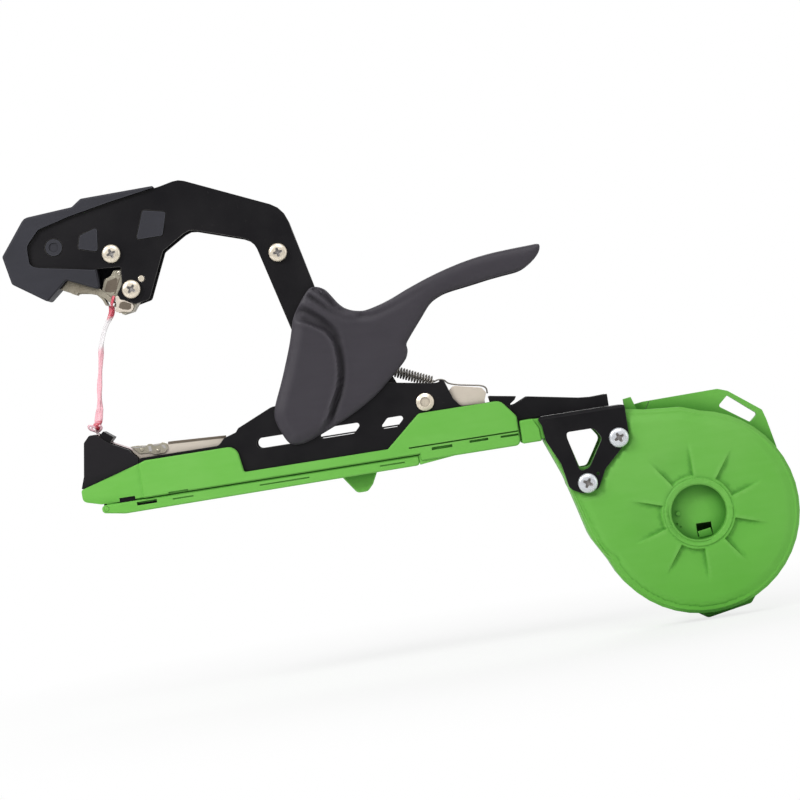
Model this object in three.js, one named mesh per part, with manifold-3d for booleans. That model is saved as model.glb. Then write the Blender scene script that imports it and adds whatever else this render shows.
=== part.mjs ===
import * as THREE from 'three';
import { mergeVertices } from 'three/addons/utils/BufferGeometryUtils.js';
import Module from 'manifold-3d';

// Plant tying tool, in millimetres: long pliers that wrap a tape round a stem, staple it and cut it.
// The lower arm lies level along X with the tape reel at its rear, and Z is up.
// The origin is on the pivot of the upper arm, at the middle of the tool's width.
// Outlines are lists of corners [x, z, fillet radius] in the plane of the tool's side.

// Clearances, and the fineness of round shapes
const fitGap = 0.3;
const runGap = 0.3;
const overrun = 3;
const smallSides = 12;
const pinSides = 16;
const midSides = 24;
const bossSides = 36;
const wideSides = 48;
const wireSides = 5;
const curlSteps = 8;
const strandSides = 8;
const strandSteps = 48;
const arcStep = THREE.MathUtils.degToRad(8);
const filletStep = THREE.MathUtils.degToRad(25);
const filletMostShare = 0.48;
const straightCosine = 0.02;

// Mechanism: the upper arm turns on the origin and the handle on the link pin.
// The handle's lower pin runs in the frame's slot.
const closeAngle = THREE.MathUtils.degToRad(22);
const linkBack = 30;
const linkRise = 28;
const slotPinBack = 61.2;
const slotDrop = 7.2;
const slotPinRadius = 2;
const linkPinRadius = 2.5;
const pivotPinRadius = 3;

// Frame: two steel plates joined by a floor
const frameInnerWidth = 18;
const framePlate = 1.5;
const frameReach = 139.2;
const frameRear = 40;
const frameDepth = 22;
const frameFillet = 1.5;
const slotHeight = 5;
const slotSlant = 5;
const slotFillet = 1.25;
const bayHalfWidth = 3.7;
const frameLowShare = 0.236;
const frameHeelShare = 0.364;
const frameTopShares = [
  [-1.642, -frameLowShare, 0.045], [-1.592, -0.091, 0.045], [-1.494, -0.009, 0.023], [-1.472, 0.073, 0.023],
  [-1.192, 0.414, 0.068], [-1.078, 0.445, 0.068], [-0.287, 0.545, 0.045], [0.082, 0.491, 0.068],
  [0.171, 0.409, 0.023], [0.221, -0.023, 0.023], [0.271, -0.205, 0.045], [0.491, -0.227, 0.045],
];
const baySpanShares = [-0.99, -0.2];
const openSlotShares = [[0.88, 0.505], [0.39, 0.16]];

// Front block with the tape's way out
const noseLength = 29;
const noseTopRise = 9.2;
const noseTongueLength = 10;
const noseTaper = 1.6;
const exitSlotInset = 20.1;
const exitSlotLength = 1.5;
const noseSlopeCorners = [6, 9];
const noseShares = [
  [0.09, 0, 0.05], [0.09, 0.19, 0], [0, 0.21, 0.01], [0.068, 0.39, 0.03], [0.154, 0.9, 0.04],
  [0.256, 1, 0.05], [0.358, 1, 0.03], [0.563, 0.84, 0.03], [0.87, 0.69, 0.03], [1, 0.545, 0.01], [1, 0, 0],
];

// Tape clip over the front block
const clipLength = 7;
const clipWidth = 14.4;
const clipInset = 12.3;
const clipShares = [[0, 0], [0.28, 0.48], [0.95, 0.42], [0.68, 0]];
const clipEar = 1.2;
const clipEarDepth = 5;

// Tape deck between the plates
const tapeWidth = 11;
const tapeThickness = 0.3;
const deckWall = 0.9;
const deckOverlap = 2.6;
const deckLength = 46;
const deckFloorDrop = 4.6;
const deckFrontRise = 0.5;
const deckRearDrop = 1.8;

// Magazine, its staples and its pusher
const stapleWidth = 6.2;
const stapleHeight = 5.8;
const stapleWire = 0.6;
const stickLength = 42;
const railWall = 0.9;
const railTail = 9.1;
const rodRadius = 1;
const pusherLength = 9.5;
const springWire = 0.5;
const springCurls = 20;
const driverThickness = 0.8;

// Side shells
const shellWall = 2.2;
const shellTail = 2;
const shellBottomDrop = 24.2;
const shellStripDrop = 19.5;
const shellFrontDrop = 6.6;
const shellCreaseDrop = 7.6;
const shellCreaseLength = 3;
const shellNoseDrop = 16;
const shellRearDrop = 4.9;
const shellFrontEnd = 90.3;
const shellFrontStep = 1.9;
const shellRearStart = 21;
const shellRamp = 17;
const shellEdge = 0.6;
const shellCorner = 1.2;
const shellStep = 6;
const shellNoseFillet = 2.5;
const shellHeelDrop = 27.4;
const shellHeelReach = 6.2;

// Magazine door
const doorInset = 8.5;
const doorEndGap = 0.8;
const doorGap = 0.6;
const doorDepth = 5.4;
const doorWall = 1.6;
const doorPinInset = 2.2;
const doorPinRadius = 1;
const doorKnuckleRadius = 1.8;
const doorEarHalfWidth = 4.2;
const doorTaper = 0.8;
const doorLugReach = 36.3;
const doorLugDrop = 8.6;
const doorLugLength = 17;
const doorLugThickness = 9;
const doorLugShares = [
  [-0.55, 0.3, 0], [-0.5, 0, 0.1], [-0.14, -1, 0.15], [0.16, -1, 0.15], [0.33, -0.65, 0.1], [0.5, 0, 0.1],
  [0.55, 0.3, 0],
];

// Rear block behind the shells
const rearBlockLength = 9.6;
const rearBlockGap = 0.8;
const rearBlockDepth = 11.2;
const rearBlockShares = [[0, 0, 0.1], [0, 1, 0.1], [0.7, 1, 0.1], [0.96, 0.57, 0.2], [1, 0, 0.1]];

// Upper arm: a folded steel channel.
// Its root follows the link pin, its bend the arm's own reach and rise, and its jaw end the head.
const armReach = 176;
const armRise = 123;
const armPlate = 1.2;
const armBossRadius = 9;
const armJawTopShares = [
  [0.164, 0.395, 0.039], [0.164, 0.586, 0.053], [0.248, 0.733, 0.053], [0.454, 0.819, 0.078],
  [0.714, 0.9, 0],
];
const armBendTopShares = [[-0.619, 0.989, 0], [-0.568, 1.005, 0.051], [-0.298, 0.832, 0.074]];
const armRootRearShares = [
  [-1.361, 1.801, 0.264], [-0.487, 0.641, 0.117], [-0.364, 0.321, 0.176], [-0.158, 0.255, 0],
];
const armKneeShares = [-1.889, 1.445, 0.293];
const armBendLowShares = [[-0.392, 0.728, 0.051], [-0.56, 0.807, 0.04]];
const armJawLowShares = [
  [0.989, 0.33, 0.021], [0.861, -0.131, 0.025], [0.76, -0.165, 0.039], [0.701, -0.039, 0.039],
  [0.717, 0.238, 0.014], [0.541, 0.256, 0.014], [0.209, 0.361, 0.039],
];
const armWebCorners = [5, 8];
const armWindowShares = [
  [[0.493, 0.62], [0.614, 0.68], [0.593, 0.419], [0.468, 0.482]],
  [[0.902, 0.775], [1.05, 0.722], [1.005, 0.479], [0.833, 0.479]],
];
const armWindowFilletShare = 0.018;
const armBossHoleShares = [0.324, 0.536];
const armBossHoleRadius = 4.3;
const armBossDimple = 2.4;
const jawScrewShares = { front: [0.671, 0.382], lower: [0.76, -0.005] };
const rearScrewShares = [-0.331, 0.663];
const springPinBack = 19.2;
const springPinRise = 19.6;
const springPinRadius = 1.2;

// Jaw head on the end of the arm
const headLength = 77;
const headHeight = 47;
const headOverhang = 12.6;
const headDrop = 47.6;
const headShares = [
  [0, 0.521, 0.019], [0.169, 0.877, 0.052], [0.474, 0.913, 0.013], [0.535, 0.983, 0.026],
  [0.995, 0.998, 0.013], [0.995, 0.94, 0.013], [1.1, 0.93, 0.013], [1.1, 0.55, 0.013],
  [0.95, 0.4, 0.013], [0.787, 0.281, 0], [0.566, 0.281, 0.013], [0.571, 0.036, 0.018],
  [0.373, 0.187, 0.013], [0.236, 0, 0.019], [0.034, 0.23, 0.026],
];
const headBevel = 0.8;
const headCheek = 1.8;
const headBossRise = 0.5;

// Clincher, blade, catch and guard under the head
const clincherSize = 15.7;
const clincherShares = [
  [-0.535, -0.382, 0.02], [-0.395, -0.71, 0.02], [-0.06, -0.66, 0.02], [0.2, -0.33, 0.1],
  [0.28, 0.02, 0.15], [0.02, 0.285, 0.15], [-0.287, 0.03, 0.08],
];
const clincherEarGap = 3.8;
const clincherEarShare = -0.3;
const anvilDepth = 0.8;
const anvilLength = 4;
const bladeThickness = 0.6;
const bladeLength = 6.5;
const bladeDrop = 1.5;
const bladeTeeth = 9;
const bladeToothDepth = 1;
const catchPivotShares = [0.83, 0.086];
const catchPinRadius = 1.5;
const catchSize = 16.3;
const catchSwing = THREE.MathUtils.degToRad(8);
const catchLeverHalfWidth = 3.2;
const catchJawHalfWidth = 6.4;
const catchJawShares = [
  [-1.0, -0.52, 0.02], [-1.18, -0.215, 0.03], [-1.06, 0.15, 0.03], [-0.88, 0.215, 0.02],
  [-0.785, 0.368, 0.02], [-0.51, 0.368, 0.02], [-0.54, 0.18, 0.02], [-0.62, -0.02, 0.02],
  [-0.74, -0.155, 0.02], [-0.865, -0.45, 0.02],
];
const catchLeverShares = [
  [-0.66, 0.0, 0], [-0.6, 0.34, 0.02], [-0.4, 0.25, 0.05], [-0.1, 0.22, 0.15], [0.2, 0.2, 0.2],
  [0.2, -0.2, 0.2], [-0.15, -0.19, 0.1], [-0.3, -0.05, 0.1],
];
const guardShares = [
  [0.319, 0.106, 0.003], [0.366, 0.176, 0.005], [0.553, 0.036, 0.008], [0.584, -0.059, 0.022],
  [0.596, -0.121, 0], [0.584, -0.126, 0], [0.569, -0.063, 0.022], [0.54, -0.006, 0.027],
  [0.489, 0.03, 0.014], [0.42, 0.064, 0.008], [0.403, 0.037, 0.005],
];
const guardHalfWidth = 6.6;

// Screws and nuts: pan heads with a cross recess
const rivetHeadRadius = 4.3;
const rivetHeadHeight = 1.4;
const rivetDish = 0.8;
const rivetDishRadius = 2.4;
const armScrew = {
  headRadius: 4.45, headHeight: 2.3, shank: 2, recess: 1.1, recessDepth: 1.3, nutFlat: 7, nutHeight: 3,
};
const caseScrew = {
  headRadius: 4.75, headHeight: 2.6, shank: 2.2, recess: 1.2, recessDepth: 1.5, nutFlat: 8, nutHeight: 3.2,
};
const threadOverhang = 1.2;
const recessArmShare = 0.62;
const recessBladeShare = 0.16;
const spacerWall = 1.6;

// Handle
const handleLength = 128.2;
const handleHeight = 73.7;
const handleWall = 2.7;
const handleWeb = 3;
const handleBevel = 1.3;
const handleShares = [
  [-0.075, 0.016, 0.031], [-0.087, 0.166, 0.031], [0.03, 0.703, 0.031], [0.119, 0.955, 0.031],
  [0.185, 0.925, 0.047], [0.243, 0.763, 0.062], [0.321, 0.744, 0.109], [0.54, 0.885, 0.234],
  [0.758, 0.982, 0.156], [1.018, 1.001, 0.025], [0.949, 0.875, 0.047], [0.891, 0.839, 0.062],
  [0.587, 0.779, 0.07], [0.441, 0.505, 0.023], [0.451, 0.423, 0.023], [0.384, 0.32, 0.031],
  [0.165, 0.062, 0.062], [0.072, -0.011, 0.031], [-0.006, -0.049, 0.031], [-0.061, -0.024, 0.031],
];
const handleWebCorners = [4, 9];
const handlePanelShares = [
  [0.02, 0.58, 0.03], [0.05, 0.765, 0.03], [0.1, 0.705, 0.03], [0.165, 0.6, 0.04], [0.182, 0.4, 0.04],
  [0.165, 0.25, 0.04], [0.1, 0.06, 0.05], [-0.03, 0.02, 0.04], [-0.055, 0.16, 0.04],
];
const handlePanelRise = 0.6;
const pinSeatDepth = 1.4;
const handleRibShares = [0.62, 0.76];
const handleRib = 2;

// Return spring and its anchor
const returnWire = 0.8;
const returnCoilRadius = 2.5;
const returnCurls = 13;
const returnCoilShares = [[-0.62, 0.8], [0.26, 0.5]];
const returnTailShares = [[0.064, 0.101], [0.277, 0.053], [0.915, -0.106], [1.032, -0.218], [1.037, -0.33]];
const anchorShares = [
  [0, 0.72, 0.02], [0.2, 1, 0.1], [0.9, 0.746, 0.05], [1, 0.517, 0.03], [0.93, 0.237, 0.02], [0.93, 0, 0],
  [0.25, 0, 0], [0.25, 0.237, 0.02],
];
const hookFrom = THREE.MathUtils.degToRad(330);
const hookTo = THREE.MathUtils.degToRad(60);
const anchorFront = 10.8;
const anchorLength = 18.8;
const anchorHeight = 11.8;
const anchorTopRise = 5.6;
const anchorWall = 1.2;

// Tape guide and reel bracket
const guideFront = 16.5;
const guideShort = 7;
const guideWall = 1.2;
const guideDepth = 13.6;
const guideTopDrop = 1.9;
const guideShares = [
  [0, 0, 0], [0, 0.66, 0.01], [0.21, 0.68, 0.01], [0.2, 0.98, 0], [0.207, 1, 0.01], [0.386, 0.845, 0.005],
  [0.37, 0.72, 0.01], [0.32, 0.55, 0.02], [0.37, 0.58, 0.03], [0.457, 0.78, 0.02], [0.807, 0.45, 0.03],
  [0.893, 0.41, 0.03], [1, 0.43, 0.005], [1, 0, 0],
];
const guideRoofShares = [[0.2, 0.9], [0.2, 0.98], [0.207, 1], [0.386, 0.845], [0.38, 0.765]];
const guideMouthLength = 7.5;
const bracketLead = 9;
const bracketWidth = 42.5;
const bracketDrop = 39.2;
const bracketPlate = 1.5;
const bracketShares = [
  [0, 0, 0.03], [1, 0, 0.03], [1, -0.4, 0.08], [0.86, -0.56, 0.05], [0.68, -0.74, 0.03], [0.57, -0.97, 0.08],
  [0.4, -1, 0.1], [0.25, -0.92, 0.1], [0.2, -0.6, 0.1], [0.07, -0.3, 0.1], [0.05, -0.1, 0.03],
];
const bracketWindowShares = [
  [0.31, -0.23, 0.04], [0.62, -0.23, 0.06], [0.7, -0.36, 0.06], [0.51, -0.69, 0.06], [0.4, -0.73, 0.04],
  [0.31, -0.3, 0.04],
];
const bracketHoleShares = [0.588, -0.783];
const bracketHoleRadius = 0.8;
const tapeSlotMargin = 1;
const caseScrewShares = { upper: [0.882, -0.39], lower: [0.459, -0.877] };
const tapeSlotShares = [0.7, 0.86];

// Reel case, cover, spool and tape roll
const reelRadius = 48.4;
const caseHalfWidth = 12;
const caseWall = 1.8;
const caseBevel = 1.6;
const caseFrontAngle = THREE.MathUtils.degToRad(200);
const caseTopAngle = THREE.MathUtils.degToRad(80);
const caseInset = 2.2;
const caseTopGap = 2.4;
const caseFrontShare = 1.395;
const caseTopShare = 1.116;
const caseShares = [
  [-0.014, 1.052, 0.101], [-0.365, 1.08, 0.051], [-0.56, caseTopShare, 0.03], [-1.368, caseTopShare, 0.051],
  [-caseFrontShare, 0.933, 0.101], [-1.254, 0.562, 0.304], [-1.171, 0.252, 0.304], [-1.089, -0.079, 0.304],
];
const casePostRadius = 3.9;
const caseWindowRise = 2;
const hubHoleRadius = 13.2;
const hubWall = 2;
const hubRimWidth = 2.6;
const hubRimRise = 0.5;
const hubFloorDepth = 5;
const hubFloor = 1.8;
const hubNotchShares = [[-0.14, -0.9], [0.42, -0.42]];
const hubPipShares = [-0.72, 0.04];
const hubPipRadius = 1;
const petals = 5;
const petalHalfAngle = THREE.MathUtils.degToRad(18);
const petalInnerShare = 0.345;
const petalOuterShare = 0.7;
const petalDepth = 0.9;
const coverSplit = 0.4;
const hingeTopShares = [-0.345, 1.078];
const hingeTiltAngle = THREE.MathUtils.degToRad(55.2);
const hingePinRadius = 1;
const hingeKnuckleRadius = 2.4;
const hingeKnuckleLength = 9;
const hingeKnuckles = 3;
const hingeStartShare = 0.58;
const loopShares = [
  [-0.45, 1.0, 0], [-0.45, 1.145, 0.02], [-0.35, 1.157, 0.02], [0.397, 1.167, 0.03], [0.493, 1.132, 0.03],
  [0.802, 0.894, 0.03], [0.832, 0.788, 0.04], [0.888, 0.504, 0.03], [0.812, 0.2, 0], [0.306, 0.605, 0],
];
const loopSlotShares = [[0.377, 0.996], [0.481, 1.089], [0.75, 0.862], [0.667, 0.79]];
const loopSlotFilletShare = 0.02;
const loopThickness = 4;
const tabShares = [[-0.271, -0.913, 0], [-0.046, -1.065, 0.051], [0.399, -0.986, 0.04], [0.498, -0.863, 0]];
const nibShares = [[-0.551, 1.091], [-0.551, 1.213], [-0.474, 1.223], [-0.433, 1.091]];
const nibWidth = 4;
const spoolWall = 2;
const rollRoom = 8;

// Tape and the strand across the jaws
const tapeClear = 0.9;
const tapeRampLength = 11.8;
const tapeBend = 2.5;
const strandClear = 2.8;
const strandWidth = 3.6;
const strandThickness = 2.2;
const strandFlatShare = 0.35;
const strandTwist = THREE.MathUtils.degToRad(160);
const strandShares = [
  [0, 0], [0.05, 0.02], [0.11, 0.05], [0.17, 0.13], [0.2, 0.18], [0.276, 0.318], [0.39, 0.49], [0.51, 0.67],
  [0.7, 0.82], [0.94, 0.93], [1, 1],
];

// Derived places and half widths
const linkPin = [-linkBack, linkRise];
const slotPin = [-slotPinBack, -slotDrop];
const frameHalf = frameInnerWidth / 2 + framePlate;
const shellHalf = frameHalf + fitGap + shellWall;
const armHalf = frameInnerWidth / 2 - runGap;
const armInner = armHalf - armPlate;
const tongueHalf = armInner - fitGap;
const handleInner = frameHalf + runGap;
const handleHalf = handleInner + handleWall;
const handleArmInner = armHalf + runGap;
const guideHalf = frameInnerWidth / 2 - fitGap;
const bracketInner = caseHalfWidth + fitGap;
const bracketHalf = bracketInner + bracketPlate;
const noseReach = frameReach + fitGap + noseLength;
const noseHeight = noseTopRise + frameDepth;
const shellRear = frameRear + shellTail;
const bracketFront = shellRear + bracketLead;
const bracketTop = -guideTopDrop - guideDepth - fitGap;
const guideRear = bracketFront + bracketWidth - guideShort;
const reelBack = bracketFront + caseInset + caseFrontShare * reelRadius;
const reelCentre = [reelBack, bracketTop - caseTopGap - caseTopShare * reelRadius];
const rollRadius = reelRadius - caseWall - rollRoom;
const beyond = noseReach + reelBack + reelRadius;

// Closing geometry, from the two triangles of the slider crank
const linkLength = Math.hypot(linkPin[0] - slotPin[0], linkPin[1] - slotPin[1]);
const closedLink = turned(linkPin, [0, 0], closeAngle);
const closedSlotPin = [
  closedLink[0] - Math.sqrt(linkLength ** 2 - (closedLink[1] + slotDrop) ** 2), -slotDrop,
];

function turned([x, z], [centreX, centreZ], angle) {
  const [dx, dz] = [x - centreX, z - centreZ];
  return [
    centreX + dx * Math.cos(angle) - dz * Math.sin(angle),
    centreZ + dx * Math.sin(angle) + dz * Math.cos(angle),
  ];
}

// Outline helpers
function placed(shares, [x, z], length, height = length) {
  return shares.map(([alongShare, upShare, filletShare = 0]) => [
    x + alongShare * length, z + upShare * height, filletShare * length,
  ]);
}

function rounded(corners) {
  const points = [];
  corners.forEach(([x, z, radius = 0], i) => {
    const here = new THREE.Vector2(x, z);
    const [lastX, lastZ] = corners.at(i - 1);
    const [nextX, nextZ] = corners[(i + 1) % corners.length];
    const back = new THREE.Vector2(lastX, lastZ).sub(here);
    const ahead = new THREE.Vector2(nextX, nextZ).sub(here);
    const halfAngle = back.angleTo(ahead) / 2;
    const most = filletMostShare * Math.min(back.length(), ahead.length());
    const reach = Math.min(radius / Math.tan(halfAngle), most);
    if (radius === 0 || Math.cos(halfAngle) < straightCosine) {
      points.push(here);
      return;
    }
    const start = here.clone().addScaledVector(back.normalize(), reach);
    const middle = back.clone().add(ahead.normalize()).normalize();
    const centre = here.clone().addScaledVector(middle, reach / Math.cos(halfAngle));
    const turn = (Math.PI - 2 * halfAngle) * Math.sign(ahead.cross(back));
    const steps = Math.max(1, Math.ceil(Math.abs(turn) / filletStep));
    for (let step = 0; step <= steps; step += 1) {
      points.push(start.clone().rotateAround(centre, (turn * step) / steps));
    }
  });
  return points;
}

function direction([fromX, fromZ], [toX, toZ]) {
  return new THREE.Vector2(toX - fromX, toZ - fromZ).normalize();
}

function grown(corners, gap) {
  const points = corners.map(([x, z]) => new THREE.Vector2(x, z));
  const sense = Math.sign(THREE.ShapeUtils.area(points));
  return corners.map(([x, z, radius = 0], i) => {
    const arriving = direction(corners.at(i - 1), [x, z]);
    const leaving = direction([x, z], corners[(i + 1) % corners.length]);
    const normals = new THREE.Vector2(arriving.y + leaving.y, -arriving.x - leaving.x).multiplyScalar(sense);
    const moved = points[i].clone().addScaledVector(normals, (2 * gap) / normals.lengthSq());
    const bulge = Math.sign(arriving.cross(leaving)) * sense;
    return [moved.x, moved.y, radius > 0 ? Math.max(0, radius + bulge * gap) : 0];
  });
}

function band(corners, [first, last], wall) {
  const inner = grown(corners, -wall).slice(first, last + 1).reverse();
  const strip = [...corners.slice(first, last + 1), ...inner];
  const ends = [0, last - first, last - first + 1, strip.length - 1];
  return strip.map(([x, z, radius], i) => [x, z, ends.includes(i) ? 0 : radius]);
}

function arcCorners([x, z], radius, from, to) {
  const steps = Math.ceil(Math.abs(to - from) / arcStep);
  return Array.from({ length: steps + 1 }, (_, i) => {
    const angle = from + ((to - from) * i) / steps;
    return [x + radius * Math.cos(angle), z + radius * Math.sin(angle)];
  });
}

// Solid helpers
const wasm = await Module();
wasm.setup();

function solid(geometry) {
  geometry.deleteAttribute('normal');
  geometry.deleteAttribute('uv');
  const merged = mergeVertices(geometry);
  const vertices = Float32Array.from(merged.attributes.position.array);
  const triangles = Uint32Array.from(merged.index.array);
  const corner = (i) => new THREE.Vector3().fromArray(vertices, 3 * triangles[i]);
  let volume = 0;
  for (let i = 0; i < triangles.length; i += 3) {
    volume += corner(i).dot(corner(i + 1).cross(corner(i + 2)));
  }
  if (volume < 0) {
    for (let i = 0; i < triangles.length; i += 3) {
      [triangles[i], triangles[i + 1]] = [triangles[i + 1], triangles[i]];
    }
  }
  return new wasm.Manifold(new wasm.Mesh({ numProp: 3, vertProperties: vertices, triVerts: triangles }));
}

function slab(corners, yLow, yHigh, bevel = 0) {
  const geometry = new THREE.ExtrudeGeometry(new THREE.Shape(rounded(corners)), {
    depth: yHigh - yLow - 2 * bevel,
    bevelEnabled: bevel > 0,
    bevelThickness: bevel,
    bevelSize: bevel,
    bevelOffset: -bevel,
    bevelSegments: 1,
  });
  geometry.rotateX(Math.PI / 2).translate(0, yHigh - bevel, 0);
  return solid(geometry);
}

function rail(corners, xLow, xHigh) {
  const geometry = new THREE.ExtrudeGeometry(new THREE.Shape(rounded(corners)), {
    depth: xHigh - xLow, bevelEnabled: false,
  });
  const acrossAndUp = new THREE.Matrix4().makeBasis(
    new THREE.Vector3(0, 1, 0), new THREE.Vector3(0, 0, 1), new THREE.Vector3(1, 0, 0),
  );
  geometry.applyMatrix4(acrossAndUp).translate(xLow, 0, 0);
  return solid(geometry);
}

function box([xLow, xHigh], [yLow, yHigh], [zLow, zHigh]) {
  const geometry = new THREE.BoxGeometry(xHigh - xLow, yHigh - yLow, zHigh - zLow);
  geometry.translate((xLow + xHigh) / 2, (yLow + yHigh) / 2, (zLow + zHigh) / 2);
  return solid(geometry);
}

function disc([x, z], radius, yLow, yHigh, sides = pinSides) {
  const geometry = new THREE.CylinderGeometry(radius, radius, yHigh - yLow, sides);
  geometry.translate(x, (yLow + yHigh) / 2, z);
  return solid(geometry);
}

function spun([x, z], profile, sides = pinSides) {
  const points = profile.map(([radius, y]) => new THREE.Vector2(radius, y));
  const geometry = new THREE.LatheGeometry(points, sides);
  geometry.translate(x, 0, z);
  return solid(geometry);
}

function joined(...solids) {
  return solids.reduce((whole, next) => whole.add(next));
}

function pierced(body, ...cutters) {
  return cutters.reduce((whole, next) => whole.subtract(next), body);
}

function sweptGeometry(path, sectionAt) {
  const rings = path.map((point, i) => {
    const along = path[Math.min(i + 1, path.length - 1)].clone().sub(path[Math.max(i - 1, 0)]).normalize();
    return { point, along };
  });
  const positions = [];
  const faces = [];
  let across = new THREE.Vector3(0, 1, 0);
  rings.forEach(({ point, along }, i) => {
    across = across.clone().addScaledVector(along, -across.dot(along)).normalize();
    const up = along.clone().cross(across);
    sectionAt(i / (rings.length - 1)).forEach(([a, b]) => {
      positions.push(...point.clone().addScaledVector(across, a).addScaledVector(up, b));
    });
  });
  const sides = sectionAt(0).length;
  for (let i = 0; i < rings.length - 1; i += 1) {
    for (let k = 0; k < sides; k += 1) {
      const [a, b] = [i * sides + k, i * sides + ((k + 1) % sides)];
      faces.push(a, b, a + sides, b, b + sides, a + sides);
    }
  }
  const lastRing = (rings.length - 1) * sides;
  for (let k = 1; k < sides - 1; k += 1) {
    faces.push(0, k + 1, k, lastRing, lastRing + k, lastRing + k + 1);
  }
  const geometry = new THREE.BufferGeometry();
  geometry.setAttribute('position', new THREE.Float32BufferAttribute(positions, 3));
  geometry.setIndex(faces);
  return geometry;
}

function roundSection(radius, sides) {
  return Array.from({ length: sides }, (_, k) => {
    const angle = (2 * Math.PI * k) / sides;
    return [radius * Math.cos(angle), radius * Math.sin(angle)];
  });
}

function coilPath(start, end, radius, curls) {
  const axis = end.clone().sub(start);
  const side = new THREE.Vector3(0, 1, 0);
  const up = axis.clone().normalize().cross(side);
  const steps = curls * curlSteps;
  return Array.from({ length: steps + 1 }, (_, i) => {
    const angle = (2 * Math.PI * i) / curlSteps;
    return start.clone().addScaledVector(axis, i / steps)
      .addScaledVector(side, radius * Math.sin(angle)).addScaledVector(up, radius * Math.cos(angle));
  });
}

function wireAlong(path, wire) {
  return solid(sweptGeometry(path, () => roundSection(wire / 2, wireSides)));
}

function leastCoilGap(name, path, wire) {
  let least = Infinity;
  path.forEach((point, i) => {
    path.slice(i + curlSteps - 2).forEach((other) => {
      least = Math.min(least, point.distanceTo(other));
    });
  });
  console.log(`${name}: least gap to itself ${(least - wire).toFixed(2)} mm`);
}

// Materials
function finish(color, roughness, metalness) {
  return new THREE.MeshStandardMaterial({ color, roughness, metalness, flatShading: true });
}

const greenPlastic = () => finish(0x6cb544, 0.45, 0);
const blackSteel = () => finish(0x262528, 0.5, 0.4);
const darkPlastic = () => finish(0x343438, 0.6, 0);
const gripPlastic = () => finish(0x46444a, 0.55, 0);
const brightSteel = () => finish(0xcfcac0, 0.35, 0.9);
const springSteel = () => finish(0x8a857c, 0.4, 0.9);
const tapeFilm = () => finish(0xf2b6c0, 0.4, 0);

const tool = new THREE.Group();

function part(name, material, body) {
  const { vertProperties, triVerts } = body.getMesh();
  const geometry = new THREE.BufferGeometry();
  geometry.setAttribute('position', new THREE.Float32BufferAttribute(vertProperties, 3));
  geometry.setIndex(Array.from(triVerts));
  const piece = new THREE.Mesh(geometry, material);
  piece.name = name;
  tool.add(piece);
}

// Frame
const frameOutline = [
  [-frameReach, -frameDepth], [-frameReach, -frameLowShare * frameDepth, frameFillet],
  ...placed(frameTopShares, [0, 0], slotPinBack, frameDepth),
  [frameRear, -frameHeelShare * frameDepth, frameFillet], [frameRear, -frameDepth],
];
const floorTop = -frameDepth + framePlate;
const wayThrough = frameHalf + overrun;

const [slotTop, slotLow] = [slotHeight / 2 - slotDrop, -slotHeight / 2 - slotDrop];

function slantedSlot(xLow, xHigh) {
  const outline = [
    [xLow + slotSlant, slotTop], [xHigh, slotTop], [xHigh - slotSlant, slotLow], [xLow, slotLow],
  ];
  return slab(outline.map(([x, z]) => [x, z, slotFillet]), -wayThrough, wayThrough);
}

function pinSlot() {
  const front = closedSlotPin[0] - slotPinRadius - 2 * runGap;
  const rear = slotPin[0] + slotPinRadius + 2 * runGap;
  const fillet = slotHeight / 2;
  const outline = [[front, slotTop], [rear, slotTop], [rear, slotLow], [front, slotLow]];
  return slab(outline.map(([x, z]) => [x, z, fillet]), -wayThrough, wayThrough);
}

part('frame_channel', blackSteel(), pierced(
  slab(frameOutline, -frameHalf, frameHalf),
  box([-beyond, beyond], [-frameInnerWidth / 2, frameInnerWidth / 2], [floorTop, beyond]),
  box(baySpanShares.map((share) => share * frameReach), [-bayHalfWidth, bayHalfWidth],
    [-frameDepth - overrun, floorTop + overrun]),
  pinSlot(),
  ...openSlotShares.map(([left, right]) => slantedSlot(-left * slotPinBack, -right * slotPinBack)),
  disc([0, 0], pivotPinRadius + runGap, -wayThrough, wayThrough),
));

// Front block: a solid nose that holds the staples' way out, the door's hinge and the tape clip
const railLow = floorTop + fitGap;
const railRoof = railLow + stapleHeight + 2 * fitGap;
const railTop = railRoof + railWall;
const railInner = stapleWidth / 2 + fitGap;
const railHalf = railInner + railWall;
const exitSlotFront = -noseReach + exitSlotInset;
const railFront = exitSlotFront + exitSlotLength;
const noseOutline = placed(noseShares, [-noseReach, -frameDepth], noseLength, noseHeight);
const noseRear = -frameReach - fitGap;
const doorPin = [-noseReach + doorInset + doorPinInset, -shellBottomDrop - doorGap - doorKnuckleRadius];

function noseTopAt(x) {
  const right = noseOutline.findIndex(([cornerX], i) => i >= noseSlopeCorners[0] && cornerX >= x);
  const [[x0, z0], [x1, z1]] = [noseOutline[right - 1], noseOutline[right]];
  return z0 + ((x - x0) * (z1 - z0)) / (x1 - x0);
}

function tapered(body, half) {
  const plan = new THREE.Shape([
    new THREE.Vector2(-noseReach, half - noseTaper), new THREE.Vector2(-frameReach, half),
    new THREE.Vector2(-frameReach, half + overrun), new THREE.Vector2(-noseReach - overrun, half + overrun),
    new THREE.Vector2(-noseReach - overrun, half - noseTaper),
  ]);
  const geometry = new THREE.ExtrudeGeometry(plan, { depth: 2 * beyond, bevelEnabled: false });
  geometry.translate(0, 0, -beyond);
  const farSide = solid(geometry);
  return pierced(body, farSide, farSide.mirror([0, 1, 0]));
}

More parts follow.
